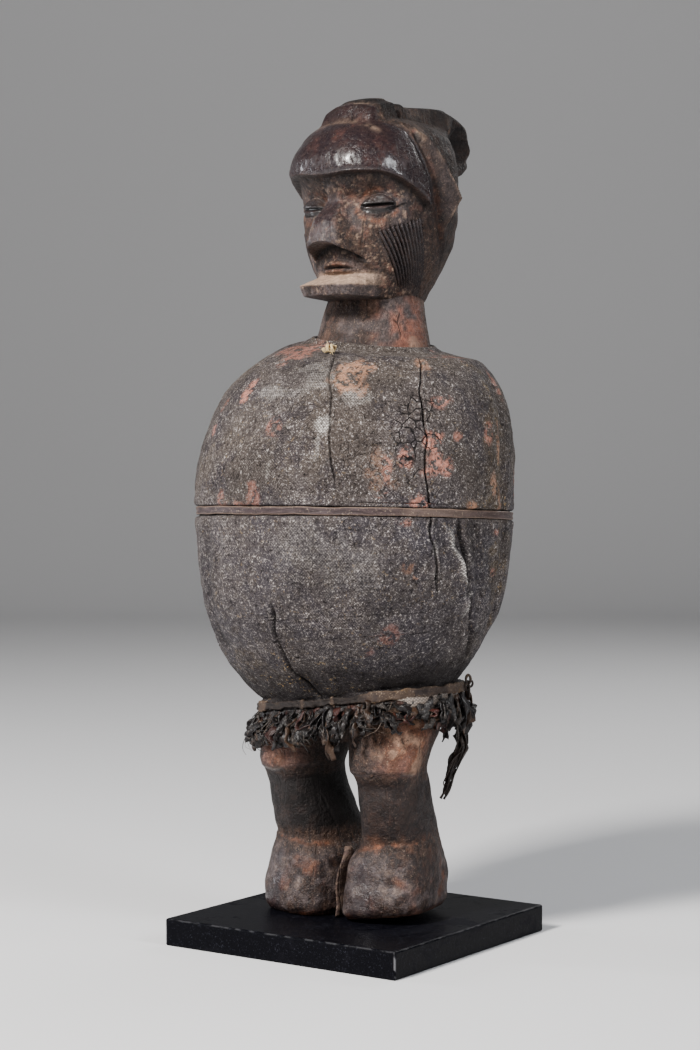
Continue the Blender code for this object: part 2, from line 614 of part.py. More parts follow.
def build_lower_tie():
    straw = painted("straw_tie", (0.20, 0.125, 0.062), 0.8)
    knot = (TIE_KNOT_DIRECTION, math.radians(8), TIE_KNOT_REACH, TIE_KNOT_HEIGHT)
    level = (TIE_SEAT[0] + TIE_SEAT[1]) / 2
    build_band("lower_tie", level, TIE_HEIGHT, TIE_THICK, cloth_columns(HIP_LEVEL), tie_seat, straw, knot)


def build_seam_knot():
    straw = painted("straw_knot", (0.34, 0.22, 0.10), 0.85)
    angles = around(KNOT_COLUMNS)
    seat = cloth_point(KNOT_DIRECTION, KNOT_LEVEL, bundle_radius(KNOT_DIRECTION, KNOT_LEVEL))
    rise = (KNOT_HEIGHT / 2 + 2 * CLEARANCE) / math.sqrt(2)
    rings = []
    for share in (-0.92, -0.55, 0.0, 0.55, 0.92):
        girth = KNOT_HEIGHT / 2 * math.sqrt(1 - share**2) * (1 - 0.25 * math.cos(6 * share))
        x = seat[0] + share * KNOT_LENGTH / 2 + 0 * angles
        y = seat[1] - rise + girth * np.cos(angles)
        z = seat[2] + rise + girth * np.sin(angles)
        rings.append(np.stack([x, y, z], axis=-1))
    mesh_object("seam_knot", rings, straw)


def main():
    for thing in list(bpy.data.objects):
        bpy.data.objects.remove(thing, do_unlink=True)
    build_plinth()
    build_figure()
    build_cloth()
    build_waist_strip()
    build_lower_tie()
    build_seam_knot()


main()
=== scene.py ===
# Looks of the wooden power figure: its carving, the stuffed cloth bundle, the ties and the plinth
import math

import bpy
import numpy as np
from mathutils import Matrix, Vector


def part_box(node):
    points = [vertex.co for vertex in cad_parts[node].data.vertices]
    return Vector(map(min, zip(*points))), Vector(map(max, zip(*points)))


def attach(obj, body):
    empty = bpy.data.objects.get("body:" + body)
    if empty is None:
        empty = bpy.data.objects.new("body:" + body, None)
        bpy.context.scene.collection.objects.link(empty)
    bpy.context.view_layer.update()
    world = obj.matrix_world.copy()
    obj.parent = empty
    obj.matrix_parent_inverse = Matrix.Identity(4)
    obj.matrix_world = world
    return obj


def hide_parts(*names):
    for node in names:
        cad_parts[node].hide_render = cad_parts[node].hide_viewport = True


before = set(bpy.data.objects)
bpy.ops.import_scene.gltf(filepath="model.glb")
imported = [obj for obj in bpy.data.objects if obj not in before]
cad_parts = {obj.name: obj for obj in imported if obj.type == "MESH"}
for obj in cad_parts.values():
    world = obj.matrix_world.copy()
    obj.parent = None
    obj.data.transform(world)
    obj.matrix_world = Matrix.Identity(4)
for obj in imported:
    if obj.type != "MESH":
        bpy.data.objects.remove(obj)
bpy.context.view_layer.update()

print("frame loaded with", ", ".join(sorted(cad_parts)))

# Levels are in millimetres above the soles, which stand on the plinth's top
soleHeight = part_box("figure")[0].z
mm = 0.001


def ease(low, high, value):
    # 0 at low, 1 at high, with a flat start and end: 3s^2 - 2s^3
    share = np.clip((value - low) / (high - low), 0, 1)
    return share * share * (3 - 2 * share)


def bump(distance):
    # 1 in the middle, falling smoothly to 0 at a distance of 1
    return ease(1, 0, np.abs(distance))


def bell(distance):
    # exp(-d^2)
    return np.exp(-np.square(distance))


def ramp(low, high, value):
    # straight line from 0 at low to 1 at high, for flat carved planes
    return np.clip((value - low) / (high - low), 0, 1)


def throughStations(level, stations, column):
    # cubic Hermite curve through one column of a table, with the slopes of its neighbours
    table = np.array(stations, float)
    at, value = table[:, 0], table[:, column]
    slope = np.gradient(value, at)
    low = np.clip(np.searchsorted(at, level, side="right") - 1, 0, len(at) - 2)
    span = at[low + 1] - at[low]
    share = np.clip((level - at[low]) / span, 0, 1)
    rest = 1 - share
    return (value[low] * (1 + 2 * share) * rest**2 + value[low + 1] * share**2 * (3 - 2 * share)
        + slope[low] * span * share * rest**2 - slope[low + 1] * span * share**2 * rest)


def sectionReach(angle, halfWidth, halfDepth, square):
    # rounded rectangle |x/w|^n + |y/d|^n = 1, as the distance from its middle in one direction
    return ((np.abs(np.sin(angle)) / halfWidth) ** square
        + (np.abs(np.cos(angle)) / halfDepth) ** square) ** (-1 / square)


def latticeNoise(points, cell, seed):
    # value noise from -1 to 1: hashed numbers on a lattice, blended smoothly inside each cell
    place = np.asarray(points, float) / cell
    corner = np.floor(place).astype(np.int64)
    share = place - corner
    share = share * share * (3 - 2 * share)
    total = np.zeros(place.shape[:-1])
    for step in np.ndindex(2, 2, 2):
        at = corner + np.array(step)
        mixed = at[..., 0] * 73856093 ^ at[..., 1] * 19349663 ^ at[..., 2] * 83492791 ^ seed * 2654435761
        mixed = (mixed ^ (mixed >> 13)) * 1274126177
        value = ((mixed ^ (mixed >> 16)) & 65535) / 32767.5 - 1
        total += value * np.prod(np.where(np.array(step) == 1, share, 1 - share), axis=-1)
    return total


def layered(points, cell, seed, layers=3):
    # lattice noises added up, each with half the cell and half the height of the one before
    return sum(latticeNoise(points, cell / 2**layer, seed + layer) / 2**layer for layer in range(layers))


def toolCuts(points, cell, seed):
    # chisel marks: distance to the nearest of one jittered point a cell, 0 amid a cut, 1 on its ridges
    place = np.asarray(points, float) / cell
    corner = np.floor(place).astype(np.int64)
    nearest = np.full(place.shape[:-1], 9.0)
    for step in np.ndindex(3, 3, 3):
        at = corner + np.array(step) - 1
        mixed = (at[..., 0] * 73856093 ^ at[..., 1] * 19349663 ^ at[..., 2] * 83492791) + seed * 7919
        mixed = (mixed ^ (mixed >> 11)) * 1274126177
        jitter = np.stack([(mixed >> shift) & 1023 for shift in (3, 14, 25)], -1) / 1023
        nearest = np.minimum(nearest, np.linalg.norm(at + jitter - place, axis=-1))
    return np.clip(nearest, 0, 1)


def wrapTurn(angle):
    # the same direction between -pi and pi
    return (angle + math.pi) % (2 * math.pi) - math.pi


def roundPoints(angle, radius):
    # points of a level circle to read noise from: (r sin, r cos, 0)
    return np.stack([np.sin(angle) * radius, np.cos(angle) * radius, angle * 0], -1)


def crowdedLine(low, high, count, places):
    # count values from low to high, closer together near each (place, spread, strength)
    fine = np.linspace(low, high, 1500)
    density = np.ones_like(fine)
    for place, spread, strength in places:
        density += strength * bell((fine - place) / spread)
    passed = np.concatenate([[0], np.cumsum((density[1:] + density[:-1]) / 2)])
    return np.interp(np.linspace(0, passed[-1], count), passed, fine)


def crowdedRound(count, places):
    # count directions round a full turn, in radians, closer together near each place in degrees
    turned = [(place + turn, spread, strength)
        for place, spread, strength in places for turn in (-360, 0, 360)]
    return np.radians(crowdedLine(-180, 180, count + 1, turned)[:-1])


def gridShell(points, poles=(None, None), loop=False, marks=None, uv=None):
    # quads between the rows and round the columns of a grid; poles close the first and last row with
    # fans, and loop joins the last row to the first. uv has one more column, and row in a loop.
    rows, columns = points.shape[:2]
    index = np.arange(rows * columns).reshape(rows, columns)
    lower = index if loop else index[:-1]
    upper = np.roll(index, -1, axis=0) if loop else index[1:]
    quads = np.stack([lower, np.roll(lower, -1, 1), np.roll(upper, -1, 1), upper], -1).reshape(-1, 4)
    flat = points.reshape(-1, 3)
    marks = {name: value.reshape(rows * columns, -1) for name, value in (marks or {}).items()}
    triangles = []
    for pole, row, turn in ((poles[0], index[0], -1), (poles[1], index[-1], 1)):
        if pole is None:
            continue
        tip = np.full(columns, len(flat))
        flat = np.concatenate([flat, [pole]])
        marks = {name: np.concatenate([value, value[row].mean(0)[None]]) for name, value in marks.items()}
        triangles.append(np.stack([row, np.roll(row, -1), tip][::turn], -1))
    triangles = np.concatenate(triangles) if triangles else np.zeros((0, 3), int)
    corners = None
    if uv is not None:
        corners = np.stack([uv[:-1, :-1], uv[:-1, 1:], uv[1:, 1:], uv[1:, :-1]], 2).reshape(-1, 4, 2)
    a, b, c, d = (flat[quads[:, i]] for i in range(4))
    volume = np.einsum("ij,ij->", a, np.cross(b, c)) + np.einsum("ij,ij->", a, np.cross(c, d))
    ta, tb, tc = (flat[triangles[:, i]] for i in range(3))
    volume += np.einsum("ij,ij->", ta, np.cross(tb, tc))
    if volume < 0:
        quads, triangles = quads[:, ::-1], triangles[:, ::-1]
        corners = None if corners is None else corners[:, ::-1]
    return {"points": flat, "quads": quads, "triangles": triangles, "marks": marks, "uv": corners}


def buildPiece(name, shells, material, nodes):
    # one mesh from closed shells; it rides on the root, and stands for the nodes
    counts = np.cumsum([0] + [len(shell["points"]) for shell in shells])[:-1]
    points = np.concatenate([shell["points"] for shell in shells])
    quads = np.concatenate([shell["quads"] + start for shell, start in zip(shells, counts)])
    triangles = np.concatenate([shell["triangles"] + start for shell, start in zip(shells, counts)])
    mesh = bpy.data.meshes.new(name)
    mesh.vertices.add(len(points))
    mesh.vertices.foreach_set("co", points.astype(np.float32).ravel())
    corners = np.concatenate([quads.ravel(), triangles.ravel()]).astype(np.int32)
    mesh.loops.add(len(corners))
    mesh.loops.foreach_set("vertex_index", corners)
    starts = np.concatenate([np.arange(len(quads)) * 4, len(quads) * 4 + np.arange(len(triangles)) * 3])
    mesh.polygons.add(len(starts))
    mesh.polygons.foreach_set("loop_start", starts.astype(np.int32))
    mesh.update(calc_edges=True)
    if shells[0]["uv"] is not None:
        layer = mesh.uv_layers.new(name="clothRun")
        flat = np.concatenate([shell["uv"].reshape(-1, 2) for shell in shells])
        flat = np.concatenate([flat, np.zeros((len(triangles) * 3, 2))])
        layer.uv.foreach_set("vector", flat.astype(np.float32).ravel())
    for mark in shells[0]["marks"]:
        value = np.concatenate([shell["marks"][mark] for shell in shells])
        colour = np.concatenate([value, np.ones((len(value), 1))], 1)
        layer = mesh.attributes.new(mark, "FLOAT_COLOR", "POINT")
        layer.data.foreach_set("color", colour.astype(np.float32).ravel())
    mesh.shade_smooth()
    mesh.materials.append(material)
    piece = bpy.data.objects.new(name, mesh)
    bpy.context.scene.collection.objects.link(piece)
    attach(piece, "root")
    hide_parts(*nodes)
    print(name, len(quads) * 2 + len(triangles), "triangles")
    return piece


class Shading:
    # short names for the nodes that the materials below are wired from
    def __init__(self, tree):
        # keeps the tree that the nodes go into
        self.tree = tree

    def node(self, kind, **settings):
        # a new node of a kind, with its settings
        made = self.tree.nodes.new("ShaderNode" + kind)
        for name, value in settings.items():
            setattr(made, name, value)
        return made

    def put(self, socket, value):
        # links a socket to another, or sets its value; three numbers become an opaque colour
        if isinstance(value, bpy.types.NodeSocket):
            self.tree.links.new(value, socket)
        elif hasattr(value, "__len__") and len(value) == 3 and len(socket.default_value) == 4:
            socket.default_value = (*value, 1)
        else:
            socket.default_value = value

    def math(self, operation, *values, clamp=False):
        # one step of arithmetic
        made = self.node("Math", operation=operation, use_clamp=clamp)
        for socket, value in zip(made.inputs, values):
            self.put(socket, value)
        return made.outputs[0]

    def times(self, *values):
        # first * second
        return self.math("MULTIPLY", *values)

    def plus(self, *values, clamp=False):
        # first + second
        return self.math("ADD", *values, clamp=clamp)

    def less(self, *values):
        # first - second
        return self.math("SUBTRACT", *values)

    def linear(self, *values):
        # first * second + third
        return self.math("MULTIPLY_ADD", *values)

    def between(self, value, low, high, toLow=0.0, toHigh=1.0):
        # 3s^2 - 2s^3 of the share from low to high, spread from toLow to toHigh
        made = self.node("MapRange", interpolation_type="SMOOTHSTEP")
        for socket, item in zip(made.inputs, (value, low, high, toLow, toHigh)):
            self.put(socket, item)
        return made.outputs[0]

    def mix(self, factor, first, second, blend="MIX"):
        # first + (second - first) * factor
        made = self.node("Mix", data_type="RGBA", blend_type=blend)
        self.put(made.inputs[0], factor)
        self.put(made.inputs[6], first)
        self.put(made.inputs[7], second)
        return made.outputs[2]

    def noise(self, vector, scale, detail=3.0, roughness=0.55, distortion=0.0):
        # layered noise about 0.5
        made = self.node("TexNoise")
        self.put(made.inputs["Vector"], vector)
        self.put(made.inputs["Scale"], scale)
        made.inputs["Detail"].default_value = detail
        made.inputs["Roughness"].default_value = roughness
        made.inputs["Distortion"].default_value = distortion
        return made.outputs["Fac"]

    def stretched(self, vector, scale, turn=(0, 0, 0)):
        # the vector scaled axis by axis, then turned
        made = self.node("Mapping")
        self.put(made.inputs["Vector"], vector)
        made.inputs["Scale"].default_value = scale
        made.inputs["Rotation"].default_value = turn
        return made.outputs[0]

    def cells(self, vector, scale, feature="F1", randomness=1.0):
        # distance to the nearest cell's point, or to the edge between cells
        made = self.node("TexVoronoi", feature=feature)
        self.put(made.inputs["Vector"], vector)
        self.put(made.inputs["Scale"], scale)
        made.inputs["Randomness"].default_value = randomness
        return made.outputs["Distance"]

    def marks(self, name):
        # the three values of one mark layer
        made = self.node("Attribute", attribute_name=name)
        apart = self.node("SeparateColor")
        self.tree.links.new(made.outputs["Color"], apart.inputs[0])
        return apart.outputs

    def apart(self, vector):
        # x, y and z of a vector
        made = self.node("SeparateXYZ")
        self.put(made.inputs[0], vector)
        return made.outputs

    def group(self, group, **values):
        # a node group in place, with its own values
        made = self.node("Group", node_tree=group)
        for name, value in values.items():
            self.put(made.inputs[name], value)
        return made.outputs

    def relief(self, height, strength, distance, normal=None):
        # the normal tilted by the slope of height
        made = self.node("Bump")
        made.inputs["Strength"].default_value = strength
        made.inputs["Distance"].default_value = distance
        self.put(made.inputs["Height"], height)
        if normal is not None:
            self.put(made.inputs["Normal"], normal)
        return made.outputs[0]


def newGroup(name, inputs, outputs):
    # an empty node group with named sockets, given as name and kind
    group = bpy.data.node_groups.new(name, "ShaderNodeTree")
    for word, kind in inputs:
        group.interface.new_socket(word, in_out="INPUT", socket_type="NodeSocket" + kind)
    for word, kind in outputs:
        group.interface.new_socket(word, in_out="OUTPUT", socket_type="NodeSocket" + kind)
    return (Shading(group), group.nodes.new("NodeGroupInput").outputs,
        group.nodes.new("NodeGroupOutput").inputs)


def makeWeave():
    # plain weave on the bias: warp and weft ridges |sin|, each raised and lowered by the other's phase
    s, given, result = newGroup("plainWeave",
        [("Run", "Vector"), ("Threads", "Float"), ("Wander", "Float")],
        [("Height", "Float"), ("Thread", "Float")])
    wander = s.times(s.less(s.noise(given["Run"], 260.0, 2.0), 0.5), given["Wander"])
    level, upright, _ = s.apart(given["Run"])
    x = s.times(s.plus(level, upright), math.sqrt(0.5))
    y = s.times(s.less(level, upright), math.sqrt(0.5))
    sides = []
    for along, across in ((x, y), (y, x)):
        a = s.times(s.plus(along, wander), given["Threads"])
        b = s.times(s.less(across, wander), given["Threads"])
        ridge = s.math("ABSOLUTE", s.math("SINE", s.times(a, math.pi)))
        phase = s.plus(b, s.math("FLOOR", a))
        if along is y:
            phase = s.plus(phase, 1.0)
        raised = s.linear(s.math("COSINE", s.times(phase, math.pi)), 0.2, 0.8)
        sides.append(s.times(ridge, raised))
    height = s.times(s.plus(sides[0], sides[1]), 0.5)
    s.put(result["Height"], height)
    s.put(result["Thread"], s.between(height, 0.42, 0.85))
    return s.tree


def makeSpeckle():
    # pale and dark grains of dust: two fine noises cut off near their top
    s, given, result = newGroup("dustSpeckle", [("Vector", "Vector"), ("Scale", "Float")],
        [("Pale", "Float"), ("Dark", "Float"), ("Height", "Float")])
    fine = s.noise(given["Vector"], given["Scale"], 2.0, 0.7)
    coarse = s.noise(given["Vector"], s.times(given["Scale"], 0.37), 3.0, 0.7, 0.4)
    s.put(result["Pale"], s.times(s.between(fine, 0.55, 0.7), s.between(coarse, 0.42, 0.6)))
    s.put(result["Dark"], s.between(s.plus(fine, coarse), 0.92, 0.74))
    s.put(result["Height"], s.plus(fine, coarse))
    return s.tree


def makeBlotch():
    # soft-edged patches with broken rims: a wide noise and a fine one, cut at a level set by Cover
    s, given, result = newGroup("blotch", [("Vector", "Vector"), ("Scale", "Float"), ("Cover", "Float")],
        [("Mask", "Float")])
    wide = s.noise(given["Vector"], given["Scale"], 4.0, 0.62, 0.3)
    fine = s.noise(given["Vector"], s.times(given["Scale"], 7.0), 3.0, 0.7)
    both = s.linear(s.less(fine, 0.5), 0.35, wide)
    edge = s.less(0.72, s.times(given["Cover"], 0.44))
    s.put(result["Mask"], s.between(both, edge, s.plus(edge, 0.09)))
    return s.tree


def makeGrain():
    # wood grain: noise drawn out along the height, with fine pores and checks
    s, given, result = newGroup("woodGrain", [("Vector", "Vector"), ("Scale", "Float")],
        [("Streak", "Float"), ("Check", "Float"), ("Height", "Float")])
    long = s.stretched(given["Vector"], (1, 1, 0.11))
    streak = s.noise(long, given["Scale"], 4.0, 0.65, 0.6)
    pore = s.noise(long, s.times(given["Scale"], 4.2), 2.0, 0.6)
    split = s.cells(s.stretched(given["Vector"], (1, 1, 0.22)), s.times(given["Scale"], 0.42),
        "DISTANCE_TO_EDGE")
    check = s.times(s.between(split, 0.035, 0.0), s.between(streak, 0.5, 0.62))
    s.put(result["Streak"], streak)
    s.put(result["Check"], check)
    s.put(result["Height"], s.less(s.plus(streak, s.times(pore, 0.5)), check))
    return s.tree


def makeCrackle():
    # dried crust: cells with dark edges, on a slightly shaken vector
    s, given, result = newGroup("crustCrackle", [("Vector", "Vector"), ("Scale", "Float")],
        [("Line", "Float"), ("Height", "Float")])
    shaken = s.node("VectorMath", operation="MULTIPLY_ADD")
    wobble = s.node("TexNoise")
    s.put(wobble.inputs["Vector"], given["Vector"])
    s.put(wobble.inputs["Scale"], s.times(given["Scale"], 1.6))
    s.put(shaken.inputs[0], wobble.outputs["Color"])
    shaken.inputs[1].default_value = (0.0022, 0.0022, 0.0022)
    s.put(shaken.inputs[2], given["Vector"])
    edge = s.cells(shaken.outputs[0], given["Scale"], "DISTANCE_TO_EDGE")
    s.put(result["Line"], s.between(edge, 0.055, 0.012))
    s.put(result["Height"], s.between(edge, 0.0, 0.22))
    return s.tree


weaveGroup, speckleGroup, blotchGroup = makeWeave(), makeSpeckle(), makeBlotch()
grainGroup, crackleGroup = makeGrain(), makeCrackle()


def newMaterial(name, roughness, specular):
    # a Principled material ready to wire: returned with its shader, the short names and Object coordinates
    material = bpy.data.materials.new(name)
    material.use_nodes = True
    shader = material.node_tree.nodes["Principled BSDF"]
    shader.inputs["Roughness"].default_value = roughness
    shader.inputs["Specular IOR Level"].default_value = specular
    s = Shading(material.node_tree)
    return material, shader, s, s.node("TexCoord").outputs["Object"]


# Colours of the wood from its darkest up, then what lies on it, painted sheen and shade among them
woodFinish = {
    "dark": (0.0095, 0.0055, 0.005), "brown": (0.036, 0.0195, 0.0135), "patch": (0.019, 0.0125, 0.0125),
    "rubbed": (0.070, 0.038, 0.026), "grey": (0.100, 0.080, 0.080), "pink": (0.27, 0.105, 0.072),
    "worn": (0.165, 0.060, 0.029), "tan": (0.50, 0.34, 0.24), "gloss": (0.0105, 0.006, 0.0085),
    "paleDust": (0.24, 0.175, 0.13), "darkDust": (0.006, 0.004, 0.004), "deep": (0.0035, 0.002, 0.002),
    "roughness": 0.5, "specular": 0.26, "coatRoughness": 0.17,
    "grainScale": 190.0, "dustScale": 1350.0, "patchScale": 95.0, "finePatchScale": 360.0,
    "pitScale": 620.0,
}


def makeWood():
    # handled dark wood, where the wear marks (worn, grey, tan) and skin marks (pink, gloss, deep) say;
    # grey and tan also paint sheen and highlights, deep also paints shade
    tone = woodFinish
    material, shader, s, place = newMaterial("handledWood", tone["roughness"], tone["specular"])
    worn, grey, tan = s.marks("wearAndHighlightTint")[:3]
    pink, gloss, deep = s.marks("skinAndShadeTint")[:3]
    grain = s.group(grainGroup, Vector=place, Scale=tone["grainScale"])
    dust = s.group(speckleGroup, Vector=place, Scale=tone["dustScale"])
    patch = s.group(blotchGroup, Vector=place, Scale=tone["patchScale"], Cover=0.5)["Mask"]
    patchFine = s.group(blotchGroup, Vector=place, Scale=tone["finePatchScale"], Cover=0.5)["Mask"]
    pits = s.noise(place, tone["pitScale"], 3.0, 0.65)
    colour = s.mix(s.between(grain["Streak"], 0.36, 0.66), tone["dark"], tone["brown"])
    colour = s.mix(s.times(patch, 0.5), colour, tone["patch"])
    colour = s.mix(s.times(patchFine, 0.42), colour, tone["rubbed"])
    rough = s.between(pits, 0.35, 0.65, 0.56, 0.74)
    broken = s.linear(patchFine, 0.5, 0.5)
    # grey: grey patches, and painted sheen and highlights where the marks put them
    colour = s.mix(s.times(grey, broken), colour, tone["grey"])
    colour = s.mix(s.times(pink, broken), colour, tone["pink"])
    colour = s.mix(s.times(worn, broken), colour, tone["worn"])
    # tan: pale rubbed wood, and painted highlights on the knees' edge and the beard's top face
    colour = s.mix(s.times(tan, s.linear(patchFine, 0.35, 0.65)), colour, tone["tan"])
    colour = s.mix(s.times(gloss, 0.75), colour, tone["gloss"])
    colour = s.mix(s.times(dust["Pale"], s.linear(gloss, -0.4, 0.6)), colour, tone["paleDust"])
    colour = s.mix(s.times(dust["Dark"], 0.6), colour, tone["darkDust"])
    # deep: dark skin and checks, and painted shade in hollows, grooves and under overhangs
    colour = s.mix(s.math("MAXIMUM", deep, s.times(grain["Check"], 0.8)), colour, tone["deep"])
    rough = s.less(rough, s.times(gloss, 0.33))
    rough = s.plus(rough, s.times(s.plus(dust["Pale"], deep), 0.15), clamp=True)
    s.put(shader.inputs["Base Color"], colour)
    s.put(shader.inputs["Roughness"], rough)
    s.put(shader.inputs["Coat Weight"],
        s.times(s.between(gloss, 0.6, 1.0), s.between(pits, 0.3, 0.6, 0.75, 0.3)))
    shader.inputs["Coat Roughness"].default_value = tone["coatRoughness"]
    calm = s.linear(gloss, -0.62, 1.0)
    normal = s.relief(s.times(s.plus(grain["Height"], s.times(pits, 2.0)), calm), 0.6, 0.0009)
    normal = s.relief(s.times(dust["Height"], calm), 0.45, 0.0004, normal)
    s.put(shader.inputs["Normal"], normal)
    return material


# Colours of the cloth and of what crusts and stains it, with painted glints and shade among them
clothFinish = {
    "brown": (0.050, 0.0395, 0.034), "dull": (0.031, 0.0245, 0.026), "bluish": (0.036, 0.032, 0.039),
    "rubbed": (0.062, 0.050, 0.042), "olive": (0.062, 0.042, 0.021), "thread": (0.22, 0.19, 0.18),
    "dustAndGlint": (0.56, 0.51, 0.485), "orange": (0.40, 0.205, 0.125), "pink": (0.44, 0.185, 0.135),
    "white": (0.68, 0.64, 0.60), "gold": (0.62, 0.42, 0.19), "crack": (0.006, 0.005, 0.005),
    "pit": (0.0065, 0.005, 0.005), "dark": (0.006, 0.0045, 0.0045),
    "roughness": 0.88, "specular": 0.14, "threads": 930.0, "wander": 0.0006, "dustScale": 1000.0,
    "gritScale": 1900.0, "patchScale": 42.0, "finePatchScale": 210.0, "crackleScale": 170.0,
    "wideCrackleScale": 78.0,
}


def makeBundleCloth():
    # crusted cloth; the stain marks hold (pink, orange, white, with a painted highlight), the crust marks
    # (crackle, olive, dark: mostly painted shade) and the dirt marks (gold specks, bluish crust, bare weave)
    tone = clothFinish
    material, shader, s, place = newMaterial("crustedCloth", tone["roughness"], tone["specular"])
    run = s.node("UVMap", uv_map="clothRun").outputs[0]
    pink, orange, white = s.marks("stainAndLightTint")[:3]
    crackled, olive, dark = s.marks("crustAndShadeTint")[:3]
    gold, bluish, bare = s.marks("dirtTint")[:3]
    weave = s.group(weaveGroup, Run=run, Threads=tone["threads"], Wander=tone["wander"])
    dust = s.group(speckleGroup, Vector=place, Scale=tone["dustScale"])
    grit = s.group(speckleGroup, Vector=place, Scale=tone["gritScale"])
    patch = s.group(blotchGroup, Vector=place, Scale=tone["patchScale"], Cover=0.5)["Mask"]
    patchFine = s.group(blotchGroup, Vector=place, Scale=tone["finePatchScale"], Cover=0.5)["Mask"]
    crackle = s.group(crackleGroup, Vector=place, Scale=tone["crackleScale"])
    crackleWide = s.group(crackleGroup, Vector=place, Scale=tone["wideCrackleScale"])
    crumb = s.cells(place, 420.0)
    colour = s.mix(patch, tone["brown"], tone["dull"])
    colour = s.mix(s.times(bluish, 0.85), colour, tone["bluish"])
    colour = s.mix(s.times(patchFine, 0.4), colour, tone["rubbed"])
    colour = s.mix(s.times(olive, s.linear(patchFine, 0.5, 0.4)), colour, tone["olive"])
    torn = s.between(s.noise(place, 900.0, 2.0, 0.6), 0.40, 0.62)
    shown = s.times(s.times(weave["Thread"], torn), s.linear(bare, 0.55, 0.16))
    colour = s.mix(shown, colour, tone["thread"])
    # pale flecks: pale dust and painted glints on the weave
    dustAndGlint = s.plus(s.times(dust["Pale"], 0.85), s.times(grit["Pale"], 0.85), clamp=True)
    dustAndGlint = s.times(dustAndGlint, s.linear(patchFine, 0.4, 0.6))
    colour = s.mix(dustAndGlint, colour, tone["dustAndGlint"])
    broken = s.times(s.between(s.noise(place, 330.0, 3.0, 0.6), 0.41, 0.54), s.linear(torn, -0.4, 1.0))
    colour = s.mix(s.times(orange, broken), colour, tone["orange"])
    colour = s.mix(s.times(pink, broken), colour, tone["pink"])
    light = s.times(s.times(white, s.between(torn, 0.0, 0.7, 0.45, 1.0)),
        s.linear(weave["Thread"], 0.8, 0.2))
    colour = s.mix(light, colour, tone["white"])
    speck = s.times(gold, s.between(s.noise(place, 640.0, 2.0, 0.6), 0.62, 0.68))
    colour = s.mix(speck, colour, tone["gold"])
    lines = s.times(crackle["Line"], crackled)
    wideLines = s.times(crackleWide["Line"], s.linear(patch, 0.3, 0.05))
    colour = s.mix(s.plus(lines, wideLines, clamp=True), colour, tone["crack"])
    pits = s.plus(s.times(dust["Dark"], 0.8), s.times(grit["Dark"], 0.65), clamp=True)
    colour = s.mix(s.times(pits, s.less(1.0, s.times(white, 0.7))), colour, tone["pit"])
    # the dark mark: mostly painted shade in the seams and towards the bottom
    colour = s.mix(dark, colour, tone["dark"])
    s.put(shader.inputs["Base Color"], colour)
    s.put(shader.inputs["Roughness"], s.between(dust["Height"], 0.8, 1.15, 0.95, 0.72))
    normal = s.relief(s.times(weave["Height"], s.linear(bare, 0.7, 0.25)), 0.5, 0.0004)
    normal = s.relief(crumb, 0.45, 0.0005, normal)
    bumps = s.less(s.plus(dust["Height"], grit["Height"]), s.times(lines, 1.2))
    s.put(shader.inputs["Normal"], s.relief(bumps, 0.75, 0.0006, normal))
    return material


raggedFinish = {
    "black": (0.002, 0.0015, 0.0018), "fibre": (0.0105, 0.007, 0.0068), "patch": (0.008, 0.0055, 0.0072),
    "brown": (0.085, 0.042, 0.020), "red": (0.085, 0.020, 0.014), "pale": (0.27, 0.225, 0.19),
    "dust": (0.20, 0.155, 0.115), "roughness": 0.42, "specular": 0.3,
}


def makeRaggedCloth():
    # blackened frayed cloth; stainAndLightTint holds (pale, brown, red)
    tone = raggedFinish
    material, shader, s, place = newMaterial("raggedCloth", tone["roughness"], tone["specular"])
    run = s.node("UVMap", uv_map="clothRun").outputs[0]
    pale, brown, red = s.marks("stainAndLightTint")[:3]
    fibre = s.noise(s.stretched(run, (1.0, 0.09, 1.0)), 2600.0, 2.0, 0.6)
    weave = s.group(weaveGroup, Run=run, Threads=900.0, Wander=0.0006)
    dust = s.group(speckleGroup, Vector=place, Scale=1300.0)
    patch = s.group(blotchGroup, Vector=place, Scale=150.0, Cover=0.45)["Mask"]
    colour = s.mix(s.between(fibre, 0.40, 0.70), tone["black"], tone["fibre"])
    colour = s.mix(s.times(patch, 0.4), colour, tone["patch"])
    colour = s.mix(s.times(brown, 0.8), colour, tone["brown"])
    colour = s.mix(s.times(red, 0.8), colour, tone["red"])
    colour = s.mix(s.times(pale, s.linear(weave["Thread"], 0.6, 0.3)), colour, tone["pale"])
    colour = s.mix(s.times(dust["Pale"], 0.3), colour, tone["dust"])
    s.put(shader.inputs["Base Color"], colour)
    normal = s.relief(fibre, 0.7, 0.0005)
    normal = s.relief(weave["Height"], 0.3, 0.0003, normal)
    s.put(shader.inputs["Normal"], normal)
    return material


bandDirt = {"patch": (0.030, 0.021, 0.020), "dust": (0.42, 0.33, 0.24), "black": (0.008, 0.006, 0.006),
    "specular": 0.22}


